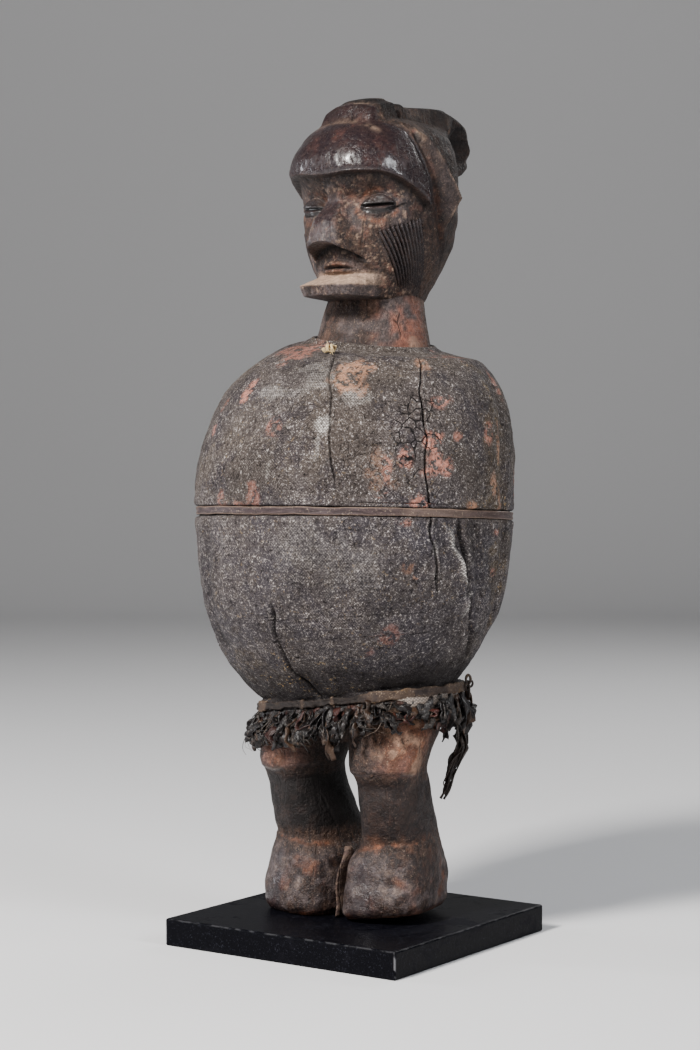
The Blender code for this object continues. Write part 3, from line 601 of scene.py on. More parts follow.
def makeBand(name, dull, bright, edge, roughness, fibres, cover):
    # flat fibre band: streaks along its run, edges rubbed paler; its tint marks hold (edge, painted sheen,
    # dark)
    tone = bandDirt
    material, shader, s, place = newMaterial(name, roughness, tone["specular"])
    run = s.node("UVMap", uv_map="clothRun").outputs[0]
    rim, shiny, dark = s.marks("stainAndLightTint")[:3]
    fibre = s.noise(s.stretched(run, (0.05, 1.0, 1.0)), fibres, 3.0, 0.65)
    dust = s.group(speckleGroup, Vector=place, Scale=1300.0)
    patch = s.group(blotchGroup, Vector=place, Scale=120.0, Cover=cover)["Mask"]
    colour = s.mix(s.between(fibre, 0.35, 0.65), dull, bright)
    colour = s.mix(s.times(rim, s.between(fibre, 0.3, 0.6, 0.3, 0.9)), colour, edge)
    # painted sheen: the shiny stretches pale towards the edge colour
    colour = s.mix(s.times(shiny, 0.7), colour, edge)
    colour = s.mix(s.times(patch, 0.75), colour, tone["patch"])
    colour = s.mix(s.times(dust["Pale"], 0.45), colour, tone["dust"])
    colour = s.mix(s.times(dark, s.between(fibre, 0.3, 0.6, 1.0, 0.8)), colour, tone["black"])
    s.put(shader.inputs["Base Color"], colour)
    normal = s.relief(fibre, 0.6, 0.0005)
    s.put(shader.inputs["Normal"], s.relief(dust["Height"], 0.35, 0.0003, normal))
    return material


paintFinish = {
    "black": (0.0018, 0.0018, 0.0030), "dull": (0.0032, 0.0031, 0.0048), "dust": (0.036, 0.038, 0.052),
    "chipped": (0.16, 0.16, 0.17), "roughness": 0.6, "specular": 0.045,
}


def makePlinthPaint(half, top):
    # satin black paint over board: fine speckle, dull patches, rubbed corners
    tone = paintFinish
    material, shader, s, place = newMaterial("satinBlackPaint", tone["roughness"], tone["specular"])
    dust = s.group(speckleGroup, Vector=place, Scale=1250.0)
    patch = s.group(blotchGroup, Vector=place, Scale=35.0, Cover=0.4)["Mask"]
    x, y, z = s.apart(place)
    nearX = s.between(s.math("ABSOLUTE", x), half - 0.0011, half - 0.0002)
    nearY = s.between(s.math("ABSOLUTE", y), half - 0.0011, half - 0.0002)
    nearTop = s.between(z, top - 0.0009, top - 0.0002)
    rim = s.plus(s.times(nearX, nearY), s.times(s.math("MAXIMUM", nearX, nearY), s.times(nearTop, 0.25)),
        clamp=True)
    chips = s.times(rim, s.between(s.noise(place, 210.0, 3.0), 0.44, 0.60))
    colour = s.mix(patch, tone["black"], tone["dull"])
    colour = s.mix(s.times(dust["Pale"], 0.45), colour, tone["dust"])
    colour = s.mix(s.times(chips, 0.8), colour, tone["chipped"])
    s.put(shader.inputs["Base Color"], colour)
    s.put(shader.inputs["Roughness"], s.between(patch, 0.0, 1.0, 0.40, 0.52))
    s.put(shader.inputs["Normal"], s.relief(dust["Height"], 0.30, 0.00025))
    return material


print("materials ready to wire")

# The body inside the cloth, and the neck that comes out of it: level, half width, half depth, set back
torso = {
    "stations": ((80, 18, 12, 0), (85, 33, 20, 1), (91, 42, 27, 2), (100, 44, 30, 3.5), (112, 38, 29, 4),
        (137, 29, 26, 4), (190, 27, 24, 4), (240, 27, 24, 8), (262, 25.5, 25, 13), (273, 23.2, 23.2, 14),
        (282, 21.3, 21.3, 15.5), (290, 20, 20, 16)),
    "square": 2.4, "columns": 96, "cutDeep": 0.35, "cutCell": 11,
}


def bodySection(angle, level):
    # rounded rectangle about an axis that is set back, in millimetres
    width, depth, back = (throughStations(level, torso["stations"], column) for column in (1, 2, 3))
    reach = sectionReach(angle, width, depth, torso["square"])
    return reach * np.sin(angle), back - reach * np.cos(angle)


def inPlace(x, y, level):
    # millimetres above the soles to metres in the frame: each times 0.001, raised to the plinth's top
    return np.stack([x * mm, y * mm, level * mm + soleHeight], -1)


def torsoShell():
    # rings of bodySection up the height, with shallow chisel marks on the neck
    levels = np.concatenate([np.linspace(80, 255, 24), np.linspace(257, 290, 56)])[:, None]
    angle = crowdedRound(torso["columns"], [])[None, :]
    angle, level = np.broadcast_arrays(angle, levels)
    x, y = bodySection(angle, level)
    around = np.stack([x, y, level * 0.6], -1)
    cut = torso["cutDeep"] * (toolCuts(around, torso["cutCell"], 5) - 0.6) + 0.25 * layered(around, 7, 31)
    x, y = x + cut * np.sin(angle), y - cut * np.cos(angle)
    high = ease(252, 258, level)
    spots = layered(np.stack([x, y, level], -1), 9, 77)
    pinkSide = bump((np.degrees(angle) - 72) / 52) * ease(291, 272, level)
    pink = np.clip(1.3 * pinkSide * ease(-0.55, 0.05, spots + 0.5 * pinkSide) + 0.1 * ease(0.3, 0.7, spots),
        0, 1)
    grey = 0.55 * ease(0.0, 0.6, -spots) * high
    # deep: painted shade at the top of the neck under the jaw, and random dark patches on the neck
    deep = (0.55 * ease(282, 290, level)
        + 0.25 * high * ease(-0.2, 0.6, layered(around, 4, 83)) * (1 - pinkSide))
    zero = np.zeros_like(x)
    marks = {"wearAndHighlightTint": np.stack([0.3 * pink, grey, 0.5 * pink * ease(-0.2, 0.4, spots)], -1),
        "skinAndShadeTint": np.stack([pink * high, zero, deep], -1)}
    points = inPlace(x, y, level)
    return gridShell(points, (points[0].mean(0), points[-1].mean(0)), marks=marks)


# Legs: level, distance from the mid plane, front and back reach, half width
legs = {
    "stations": ((0, 19.8, 22.0, 27.0, 18.6), (2.2, 19.8, 24.2, 29.5, 20.2), (8, 19.8, 24.8, 30.5, 20.6),
        (18, 20.2, 22.9, 30, 20.0), (27, 20.8, 20.4, 28.5, 18.6), (33, 21.6, 17.2, 26, 16.6),
        (42, 22.8, 20.0, 22, 15.6), (54, 23.6, 22.6, 16.5, 15.4), (63, 24, 24.2, 12.5, 15.4),
        (67, 24, 27.0, 11, 15.6), (76, 23.6, 28.2, 13.5, 17.2), (86, 22, 25.5, 22, 19.2),
        (98, 20, 20, 26, 19.5)),
    "square": 2.7, "footSquare": 3.6, "splay": 14, "soleRise": 0.13, "columns": 96, "rows": 118,
    "cutDeep": 1.5, "cutCell": 12,
}


def legShell(side):
    # rings of a rounded rectangle up the leg, turned out by the splay, faceted by chisel marks
    crowd = [(0.5, 2.5, 3), (36, 5, 1.5), (67, 4, 1.8)]
    level = crowdedLine(0, 98, legs["rows"], crowd)[:, None]
    angle = crowdedRound(legs["columns"], [(0, 80, 0.7)])[None, :]
    angle, level = np.broadcast_arrays(angle, level)
    aside, front, back, width = (throughStations(level, legs["stations"], column)
        for column in (1, 2, 3, 4))
    square = legs["square"] + (legs["footSquare"] - legs["square"]) * ease(36, 18, level)
    reach = sectionReach(angle, width, (front + back) / 2, square)
    rough = np.stack([reach * np.sin(angle) + 100 * side, reach * np.cos(angle), level * 0.8], -1)
    foot = ease(34, 24, level)
    cut = toolCuts(rough, legs["cutCell"], 11 + side) - 0.75
    inner = ease(-0.2, 0.5, side * np.sin(angle)) * 0.7 + 0.3
    reach = reach + legs["cutDeep"] * cut * inner * ease(0, 3, level) * (0.6 + 0.6 * foot)
    reach = reach + 0.30 * layered(rough, 5, 3) * ease(0, 2, level)
    # ankle: the foot's top steps out below a chiselled line
    ankle = 34 + 3 * side * np.sin(angle) + 1.2 * latticeNoise(rough, 14, 9)
    reach = (reach + 1.1 * ease(1.2, -0.8, level - ankle) * bump((level - ankle + 4) / 12)
        * ease(-0.4, 0.2, np.cos(angle)))
    # knee: a flat plane above a crisp edge
    knee = 68.5 + 1.5 * np.sin(angle * 2 + side) + 0.8 * latticeNoise(rough, 9, 4)
    ahead = ease(0.1, 0.6, np.cos(angle))
    reach = reach + 1.0 * ease(-1.6, 0.6, level - knee) * ease(14, 2, level - knee) * ahead
    reach = reach - 2.0 * bump((level - 58) / 18) * ease(0.2, 0.9, np.sin(angle)) * (side < 0)
    across, along = reach * np.sin(angle), -reach * np.cos(angle)
    turn = side * math.radians(legs["splay"])
    x = side * aside + across * np.cos(turn) - along * np.sin(turn)
    y = (back - front) / 2 + across * np.sin(turn) + along * np.cos(turn)
    worn = legs["soleRise"] * np.clip(x - 5, 0, None) * ease(26, 0, level) * (side > 0)
    z = level + worn
    points = inPlace(x, y, z)
    body = np.stack([x, y, z], -1)
    spots = layered(body, 12, 60 + side)
    fine = layered(body, 4, 20 + side)
    # where the dark skin is rubbed through to red wood, greyed, or left black, with painted sheen,
    # highlights and shade
    toFront = ease(-0.1, 0.5, np.cos(angle + 0.35))
    thigh = ease(66, 71, level) * ease(97, 90, level)
    centre = 0.75 if side > 0 else 0.2
    patch = bump((angle - centre) / 1.0) * thigh
    red = patch * ease(-0.7, 0.1, spots) * (1.0 if side > 0 else 0.55)
    red += bump((level - ankle - 0.6) / 2.0) * ease(-0.5, 0.5, fine) * toFront * 0.75
    red += ease(1.9, 0.3, level) * 0.75 * ease(-0.6, 0.3, fine)
    red += 0.6 * ease(0.35, 0.8, spots) * ease(60, 20, level)
    red += 0.3 * ease(0.15, 0.5, fine) * ease(66, 60, level) * ease(36, 42, level) * (side > 0)
    edges = ease(0.72, 0.95, toolCuts(rough, legs["cutCell"], 11 + side))
    red += 0.35 * edges * ease(-0.2, 0.5, fine)
    grey = 0.8 * foot * ease(0.0, 0.5, fine + 0.2) * (1 - 0.6 * ease(0.35, 0.8, spots))
    # painted sheen down the feet's front faces, a painted highlight along the knees' lower edge, grey on the
    # thighs
    grey += (0.6 * foot * bump((angle + 0.25) / 0.4) + 0.6 * bump((level - knee) / 1.6) * ahead
        + 0.55 * patch * ease(0.5, -0.3, spots))
    # tan: rubbed patches and specks, and a painted highlight along the knees' lower edge
    tan = (0.42 * patch * ease(0.25, 0.6, spots + 0.6 * fine) * (side > 0)
        + 0.16 * foot * ease(0.5, 0.8, fine)
        + 0.45 * bump((level - knee) / 0.9) * ahead * ease(0, 0.7, fine))
    black = ease(66, 62, level) * ease(37, 42, level)
    # and painted shade on the legs' inner sides
    # deep: the black shins, partly painted shade under the knee edge and more on the figure's right leg,
    deep = (0.45 * black * ease(-0.5, 0.4, fine) + (0.5 if side < 0 else 0.3) * black
        + 0.5 * ease(0.35, 0.9, side * -np.sin(angle)) * ease(30, 50, level))
    gloss = 0.45 * black + 0.85 * foot * bump((angle + 0.25) / 0.45) * ease(-0.6, 0.4, spots) + 0.3 * foot
    gloss += 0.8 * bump((level - knee + 0.4) / 1.8) * ahead * ease(-0.3, 0.5, fine)
    pink = 0.45 * patch * ease(-0.1, 0.3, -spots) + 0.14 * foot * ease(0.3, 0.6, spots)
    marks = {"wearAndHighlightTint": np.clip(np.stack([red, grey * (1 - 0.5 * np.clip(red, 0, 1)), tan], -1), 0, 1),
        "skinAndShadeTint": np.clip(np.stack([pink, gloss, deep], -1), 0, 1)}
    return gridShell(points, (points[0].mean(0), points[-1].mean(0)), marks=marks)


def cleftShell():
    # the rib of wood left standing between the feet: a thin half round post, wavy up its height
    level = np.linspace(0.3, 31, 40)[:, None]
    angle = np.linspace(0, 2 * math.pi, 16, endpoint=False)[None, :]
    angle, level = np.broadcast_arrays(angle, level)
    half = 1.25 + 0.2 * np.sin(level * 0.5) + 0.6 * ease(24, 31, level)
    deep = 9 * ease(34, 20, level) + 0.5
    x = 0.8 + 0.5 * np.sin(level * 0.33) + half * np.sin(angle)
    y = -7.5 - 0.25 * (22 - level).clip(0, 22) * 0.35 - deep * np.cos(angle)
    points = inPlace(x, y, level)
    tan = np.full_like(x, 0.35) * ease(-0.5, 0.6, np.sin(level * 1.7))
    zero = np.zeros_like(x)
    marks = {"wearAndHighlightTint": np.stack([zero + 0.15, zero + 0.45, 0.5 * tan], -1),
        "skinAndShadeTint": np.stack([zero, zero, zero + 0.2], -1)}
    return gridShell(points, (points[0].mean(0), points[-1].mean(0)), marks=marks)


# Head: level, half width, front and back reach from its own axis; then the levels of its forms
head = {
    "stations": ((277.5, 16, 16, 16), (282, 19.5, 21.5, 22), (287, 22, 25, 25), (292, 24.5, 27, 28),
        (299, 27, 29, 33), (307, 29, 31, 36.5), (317, 30.3, 33, 39), (328, 31, 34, 40),
        (337, 31, 36.5, 40.5), (345, 30.3, 37.5, 40.5), (353, 28.3, 34.6, 39.5),
        (359, 25.2, 30.5, 37), (363.5, 18.5, 23.5, 33.5), (366, 12.5, 17, 25), (367, 8.5, 10, 14),
        (367.4, 3.5, 4, 6)),
    "square": 2.5, "back": 16, "turn": -3.6, "rows": 194, "columns": 350,
    # directions are in degrees from the front
    "brow": 338.4, "browOut": 3.9, "browDip": 1.2, "browDipSpan": 24, "browTurn": 38, "browEnd": 82,
    "browFall": 13, "eye": 324, "eyeTurn": (30, 38), "eyeSpan": 15.5, "eyeHigh": 5.0, "socket": 5.2,
    "rootDeep": 4.4, "root": 326.5, "rootHalf": (27, 11.5), "noseTop": 334, "noseBase": 307.4,
    "noseOut": 10.5, "noseFlat": (0.9, 8.8), "noseFoot": (3.2, 15.5), "mouth": 296.4, "mouthHalf": 9,
    "beardTop": 288.0, "beardBottom": 283.4, "beardOut": 18, "beardHalf": 14.5,
    "crestHalf": 14.5, "crestTop": 372.6, "crestHump": 1.4, "crestRise": 3.4, "bunHalf": 17.5,
    "hollowLevel": 355, "hollowBack": 38, "hollowDeep": 9, "hairOut": 1.6, "earOut": 7.0, "earWidest": 10.3,
    "hairLine": ((300, 15), (313, 10), (328, 4.2), (348, -2.4), (355, -5), (362, -6), (366, -20)),
    "earEdge": ((300, 15), (313, 10), (329, 14.5), (341, 7.5), (355, -0.4), (362, -6), (366, -20)),
    "templeLine": ((318, -6), (326, -4.5), (336, -4.6), (351, -8.6), (358, -12), (362, -20)),
    "striaFrom": 38, "striaCount": 11, "striaStep": 4.3, "striaDeep": 1.5,
    "bun": ((337, 39), (341, 42), (344.5, 50), (351, 55), (358, 57), (362, 53.5), (364.4, 47), (366, 43),
        (367, 22), (367.4, 8)),
}


def browLevel(turned):
    # lower edge of the brow: its level, less a dip over the nose and a fall of share^1.5 round the temple
    side = np.clip(turned - head["browTurn"], 0, None) / (head["browEnd"] - head["browTurn"])
    return (head["brow"] - head["browDip"] * bump(turned / head["browDipSpan"])
        - head["browFall"] * side**1.5)


def browRelief(turned, level, side):
    # what stands out square to the head: brow step, sunk socket and the lids in it, as products of smooth
    # steps and bells of the direction and the level; returns it with masks for the colours, painted shade
    # among them
    above = level - browLevel(turned)
    out = head["browOut"] * ease(-0.8, 0.5, above) * ease(28, 3, above) + 0.5 * bump((above - 2.2) / 3)
    aside = turned - np.where(side > 0, head["eyeTurn"][1], head["eyeTurn"][0])
    socket = bump(np.hypot((aside + 1) / 27, (level - head["eye"] - 3.2) / 12.5)) * ease(0.5, -0.7, above)
    corner = bump(np.hypot((turned - 15) / 8, (level - 327.5) / 5.5)) * ease(0.5, -0.7, above)
    out -= head["socket"] * socket + 1.3 * corner
    along = aside / head["eyeSpan"]
    arch = np.clip(1 - along**2, 0, 1)
    high = level - head["eye"] - 0.035 * aside
    half = head["eyeHigh"] * arch**0.7 + 0.05
    inside = np.clip(1 - (high / half) ** 2, 0, 1)
    ball = 3.0 * np.sqrt(inside) * arch**0.4
    upper = 0.9 * ease(0.35, 0.75, high) * ease(0, 0.3, inside) * arch**0.3
    slit = bell(high / 0.55) * ease(0.02, 0.35, arch)
    lower = bell((high + 1.2 * arch**0.7) / 0.75) * arch**0.5
    under = bell((high + 3.1 * arch**0.7) / 0.8) * arch**0.4
    rim = bell((np.hypot(along, high / (head["eyeHigh"] + 1.2)) - 1.16) / 0.14) * (above < 0)
    tail = (bell((level - head["eye"] + 1.6 - 0.16 * (turned - 48)) / 0.55) * ease(44, 50, turned)
        * ease(66, 58, turned))
    out += ball + upper - 1.7 * slit + 0.5 * lower - 0.8 * under - 0.3 * rim - 0.9 * tail
    fade = ease(head["browEnd"] + 14, head["browEnd"], turned)
    # the slit mask paints shade in the eye slit, under the lower lid and along the tail;
    # the under-brow mask paints shade under the brow
    masks = {"rim": rim, "slit": np.clip(slit + 0.8 * under + 0.7 * tail, 0, 1), "lids": inside**0.5,
        "lower": lower, "corner": corner, "socket": socket,
        "shadeUnderBrow": ease(0.4, -0.6, above) * ease(-7, -0.6, above) * fade}
    return out * fade, masks, above


def faceRelief(x, level):
    # what stands straight out in front: the wedge of the nose with its drooping base, the lips, the folds
    aside = np.abs(x)
    down = np.clip((head["noseTop"] - level) / (head["noseTop"] - head["noseBase"]), 0, 1)
    flat, foot = (top + (bottom - top) * down for top, bottom in (head["noseFlat"], head["noseFoot"]))
    side = ramp(foot, flat, aside)
    base = head["noseBase"] - 0.034 * aside**2
    over = ease(base - 0.8, base + 0.3, level) * (level < head["noseTop"])
    out = ((0.6 + (head["noseOut"] - 0.6) * down**1.05) * (0.6 * side + 0.4 * side * side * (3 - 2 * side))
        * over)
    out += 0.5 * bell((aside - 0.15 * down) / 1.6) * down * over
    fold = bell((level - (base - 2.2)) / 1.1) * bump((aside - 12) / 6)
    out += 0.9 * fold
    out -= head["rootDeep"] * bump(np.hypot(x / head["rootHalf"][0],
            (level - head["root"]) / head["rootHalf"][1]))
    out += 1.6 * bump(np.hypot(x / 14, (level - 296) / 8))
    wide = ease(head["mouthHalf"] + 1.0, head["mouthHalf"] - 4, aside)
    high = level - head["mouth"] + 0.012 * x**2
    lip = bell((high - 1.6) / 1.1) + 0.9 * bell((high + 1.6 - 0.018 * x**2) / 1.1)
    part = bell(high / 0.55) * ease(head["mouthHalf"], head["mouthHalf"] - 3, aside)
    out += 2.1 * lip * wide - 1.3 * part
    # painted shadow under the nose's base; the part mask also paints shade between the lips
    under = ease(base - 0.1, base - 1.0, level) * ease(base - 5.5, base - 1.5, level) * ease(17, 12, aside)
    masks = {"front": ramp(flat + 0.9, flat - 0.7, aside) * over
        * ease(head["noseTop"] - 2, head["noseTop"] - 9, level),
        "noseSide": np.clip(side * (1 - side) * 4, 0, 1) * over * down, "shadeUnderNose": under,
        "lip": lip * wide, "part": part, "fold": fold}
    return out, masks


def headShell():
    # rings of a rounded rectangle whose rows droop with the brow; brow and eyes move them outwards, nose and
    # beard straight ahead, hair and ears sideways, the bun back and the crest up, then cuts and scratches
    crowd = [(325.5, 5, 2.2), (306, 4, 2.2), (296.5, 4, 1.2), (283.0, 1.2, 9), (290.0, 2.5, 3),
        (338.2, 1.8, 5), (366.4, 1.3, 9), (361, 3, 1.0)]
    row = crowdedLine(277.5, 367.4, head["rows"], crowd)[:, None]
    sides = [(side * 62, 26, 1.9) for side in (-1, 1)] + [(side * 104, 14, 1.5) for side in (-1, 1)]
    angle = crowdedRound(head["columns"], [(0, 30, 1.7), *sides])[None, :]
    angle, row = np.broadcast_arrays(angle, row)
    turned = np.abs(np.degrees(wrapTurn(angle)))
    droop = (head["brow"] - browLevel(turned)) * ease(head["browEnd"] + 20, head["browEnd"] - 4, turned)
    level = row - droop * bump((row - head["brow"]) / 40)
    width, front, back = (throughStations(level, head["stations"], column) for column in (1, 2, 3))
    depth = np.where(np.cos(angle) > 0, front, back)
    brow, masks, above = browRelief(turned, level, np.sin(angle))
    # fine grooves down the cheeks, from a slanting upper edge to the jaw
    plain = sectionReach(angle, width, depth, head["square"])
    shaken = np.stack([plain * np.sin(angle), plain * np.cos(angle), level * 0.3], -1)
    first = head["striaFrom"] + np.clip(312 - level, -11, 26) * 1.0
    step = np.clip(head["striaStep"] - (318 - level) * 0.035, 3.0, 4.6)
    count = (turned - first) / step + 0.13 * latticeNoise(shaken, 5, 8)
    groove = (0.5 + 0.5 * np.cos(2 * math.pi * count)) ** 1.6
    upper = 312 + (turned - head["striaFrom"]) * 0.17 + 0.9 * latticeNoise(shaken, 2.5, 12)
    field = ease(-0.5, 0.1, count) * ease(head["striaCount"] + 0.4, head["striaCount"], count)
    field = field * ease(0.5, -0.6, level - upper) * ease(286, 290, level)
    stria = field * (0.7 - (0.4 + head["striaDeep"] * (1 + 0.35 * latticeNoise(shaken, 4, 14))) * groove)
    reach = plain + brow + stria
    x, y = reach * np.sin(angle), -reach * np.cos(angle)
    ahead = ease(-0.15, 0.45, np.cos(angle))
    relief, more = faceRelief(x, level)
    masks.update(more)
    plate = ease(head["beardHalf"] + 5, head["beardHalf"] - 1, np.abs(x - 0.6))
    under = ease(head["beardBottom"] - 1.6, head["beardBottom"], level)
    slope = ramp(head["beardTop"] + 5.0, head["beardTop"], level)
    beard = head["beardOut"] * plate * under * slope
    y = y - ahead * (relief + beard)
    # hair behind a slanting hairline, the ear as a kite-shaped plane with a sharp rear edge
    hairline, earEdge, temple = (np.interp(level, *np.transpose(head[name]))
        for name in ("hairLine", "earEdge", "templeLine"))
    behindLine = y - hairline
    hair = ease(-0.8, 0.8, behindLine) * ease(296, 312, level)
    side = np.sign(np.sin(angle))
    wide = np.clip(earEdge - hairline, 0.01, None)
    kite = ease(earEdge + 1.8, earEdge - 0.3, y) * np.clip(wide / 4, 0, 1)
    ear = np.clip(behindLine / wide, 0, 1) * kite * wide / head["earWidest"]
    earRim = bell((y - earEdge + 0.5) / 0.7) * np.clip(wide / 6, 0, 1)
    aside = ease(0.2, 0.75, np.abs(np.sin(angle)))
    groovedLine = bell((behindLine + 0.9) / 0.8) * ease(304, 312, level)
    templeCut = bell((y - temple - 0.6) / 0.8) * ease(320, 327, level) * ease(361, 354, level)
    x = (x + side * (head["hairOut"] * hair + head["earOut"] * ear - 0.7 * groovedLine - 0.8 * templeCut)
        * aside)
    # bun and crest
    behind = ease(0.25, 0.8, -np.cos(angle))
    bun = ease(head["bunHalf"] + 2.5, head["bunHalf"] - 0.5, np.abs(x)) * behind * ease(336, 339, level)
    bunReach = throughStations(level, head["bun"], 1)
    y = y + bun * np.clip(bunReach - back, 0, None) * np.abs(y) / back
    hollow = bump(np.hypot((y - head["hollowBack"]) / 9.5, (level - head["hollowLevel"]) / 9.5)) * behind
    x = x - side * head["hollowDeep"] * hollow * ease(7, 13, np.abs(x))
    ridges = bun * ease(43, 48, y) * np.cos(2 * math.pi * (level + 0.35 * np.abs(x)) / 6.2)
    y = y + 0.8 * ridges
    crest = (ease(head["crestHalf"] + 1.3, head["crestHalf"] - 1.3, np.abs(x) - 3 * ease(20, 40, y))
        * ease(-24.5, -20, y))
    mound = bump(np.hypot(x / 14, (y + 9) / 13))
    hump = head["crestHump"] * bump(np.hypot(x / 22, (y + 7) / 15)) + head["crestRise"] * ease(2, 42, y)
    lift = ease(350, 366, row)
    level = level + crest * lift * (head["crestTop"] - 366.7 + hump + 1.0 * ease(0.05, 0.35, mound)
        - 0.8 * ease(1, 4, y))
    # cuts, scratches and a slight unevenness of the hand
    body = np.stack([x, y, level], -1)
    smooth = ease(-0.5, 2, above) * ease(1, -2, y - np.minimum(temple + 2, hairline))
    cuts = toolCuts(body, 8.5, 41) - 0.55
    flats = toolCuts(body * [1, 1, 0.8], 13, 43) - 0.55
    uneven = (0.20 * layered(body, 5, 51) * (1 - 0.55 * smooth)
        + cuts * (0.42 + 0.35 * hair) * (1 - 0.8 * smooth) * (1 - field))
    uneven += (0.75 * flats + 0.16 * layered(body, 2.4, 57, 2)) * smooth
    uneven *= 1 - 0.6 * masks["lids"] * ahead
    crack = (bell((x + 9 + 1.2 * latticeNoise(body * [0, 0, 1], 6, 2)) / 0.35) * bump((level - 351) / 8)
        * (np.cos(angle) > 0))
    x = x + uneven * np.sin(angle)
    y = y - (uneven - 0.35 * crack) * np.cos(angle)
    fine, spots = layered(body, 3.2, 71), layered(body, 9, 81)
    tiny = layered(body, 1.3, 91, 2)
    forehead = smooth * ease(-0.2, 1.2, above) * (turned < 115)
    faceSkin = (1 - ease(-1.5, 0.3, above)) * ease(98, 84, turned) * (1 - field)
    line = bell((behindLine + 0.4) / (0.9 + 1.3 * ease(343, 354, level))) * ease(306, 314, level)
    beardFace = beard / head["beardOut"]
    beardTopMask = (plate * ease(head["beardTop"] - 0.4, head["beardTop"] + 0.5, level)
        * ease(295.5, 291.5, level) * ahead)
    beardFront = plate * ease(0.75, 0.95, beardFace)
    worn = (0.85 * masks["rim"] * ease(-0.5, 0.3, fine) + 0.55 * masks["corner"]
        + 0.2 * masks["noseSide"] * ease(0.0, 0.6, fine))
    worn += 0.12 * masks["socket"] * ease(0.1, 0.7, spots) + 0.75 * masks["fold"] * ease(-0.3, 0.4, fine)
    worn += 0.04 * faceSkin * ease(0.1, 0.7, spots) + 0.45 * masks["lip"] * ease(-0.4, 0.5, fine)
    worn += (0.75 * line * ease(352, 342, level) * ease(-0.6, 0.2, fine)
        + 0.4 * groove * field * ease(0.3, 0.8, fine))
    worn += 0.35 * crest * ease(0.3, 0.8, spots) * lift + 0.2 * crest * lift * bell((y + 21.5) / 2.2)
    worn += 0.15 * hair * ease(0.5, 0.9, spots) * (1 - kite)
    # grey: painted sheen on the nose's front, grey on the ear plane and the beard's front
    grey = (0.4 * masks["front"] + 0.3 * kite * ease(1, 4, behindLine)
        + 0.65 * beardFront * ease(-0.9, 0.2, fine))
    # a paler strip along the brow's edge, both wear and a painted highlight
    grey += 0.25 * bell((above - 1.0) / 1.0) * ease(30, 42, turned) * ease(80, 70, turned)
    # grey patches on the face, and painted highlights on the tops of the cheek ridges
    grey += 0.55 * faceSkin * ease(-0.5, 0.6, -spots) + 0.35 * field * (1 - groove) * ease(0.1, 0.7, tiny)
    # painted highlights on the upper ends of the cheek ridges and on the forehead's sides
    grey += (0.7 * field * (1 - groove) * ease(-3.0, -0.3, level - upper)
        + 0.45 * forehead * bump(np.hypot((turned - 58) / 14, (level - 350) / 14)) * ease(-0.3, 0.5, fine))
    # tan: the beard's pale top, partly a painted highlight on that top face;
    # the hairline band, the ear's rim, the crest's edges and specks
    tan = (0.95 * beardTopMask * ease(-2.4, -0.6, fine)
        + 0.7 * line * ease(351, 356, level) * ease(-0.4, 0.3, fine)
        + 0.45 * earRim * ease(-0.3, 0.3, fine))
    tan += (0.5 * crest * lift * ease(0.15, 0.7, fine) * ease(3, 5, y) * 0.6
        + 0.42 * faceSkin * ease(0.35, 0.95, tiny))
    tan += (0.95 * ease(355, 358, row) * bell((y + 25.6) / 1.5) * ease(24, 19, np.abs(x))
        * ease(-1.1, 0.2, fine))
    pink = (0.75 * forehead * bump(np.hypot((x - 4) / 6, (level - 356) / 5)) * ease(-0.4, 0.4, fine)
        + 0.15 * faceSkin * ease(0.2, 0.8, fine))
    pink += 0.4 * line * ease(0.0, 0.6, spots) + 0.3 * forehead * ease(0.35, 0.9, spots)
    gloss = (forehead * (1 - 0.6 * pink) + 0.62 * masks["lids"] + 0.75 * masks["front"]
        + 0.95 * field * (1 - groove) + 0.5 * mound * crest * lift)
    gloss += 0.3 * kite + 0.25 * smooth
    # deep: painted shade in the eye slits and under the lower lids, under the nose, between the lips,
    # in the cheek grooves and the hollows beside the crest, and the dark lids
    deep = (0.95 * masks["slit"] + 0.9 * masks["shadeUnderNose"] + 0.75 * masks["part"]
        + 0.65 * groove * field * ease(-0.9, 0.2, fine) + 0.85 * hollow
        + 0.6 * masks["lids"] * (1 - 0.8 * masks["lower"]))
    # painted shadow under the beard and painted shade in the groove along the hairline
    deep += (0.6 * ease(head["beardBottom"] - 0.2, head["beardBottom"] - 2, level) * ahead
        + 0.55 * groovedLine * aside)
    # painted shade in the temple groove, under the brow and behind the ear's edge, and the dark crack
    deep += (0.5 * templeCut * aside + 0.5 * masks["shadeUnderBrow"] + 0.35 * crack
        + 0.6 * bell((y - earEdge - 2.2) / 1.4) * aside * np.clip(wide / 5, 0, 1))
    deep += (0.35 * ease(0.5, 0.9, -tiny) * (1 - forehead)
        + 0.6 * hair * (1 - 0.5 * kite) * ease(-1.2, 0.0, spots))
    deep += (0.18 * faceSkin * ease(-0.6, 0.4, -fine) * (1 - masks["front"])
        + 0.5 * crest * lift * ease(-0.8, 0.4, fine))
    marks = {"wearAndHighlightTint": np.clip(np.stack([worn, grey, tan], -1), 0, 1),
        "skinAndShadeTint": np.clip(np.stack([pink, gloss, deep], -1), 0, 1)}
    turn = math.radians(head["turn"])
    points = inPlace(x * math.cos(turn) - y * math.sin(turn),
        x * math.sin(turn) + y * math.cos(turn) + head["back"], level)
    return gridShell(points, (points[0].mean(0), points[-1].mean(0)), marks=marks)


wood = makeWood()
figure = buildPiece("carvedFigure", [headShell(), torsoShell(), legShell(1), legShell(-1), cleftShell()],
    wood, ["figure"])
print("figure carved")

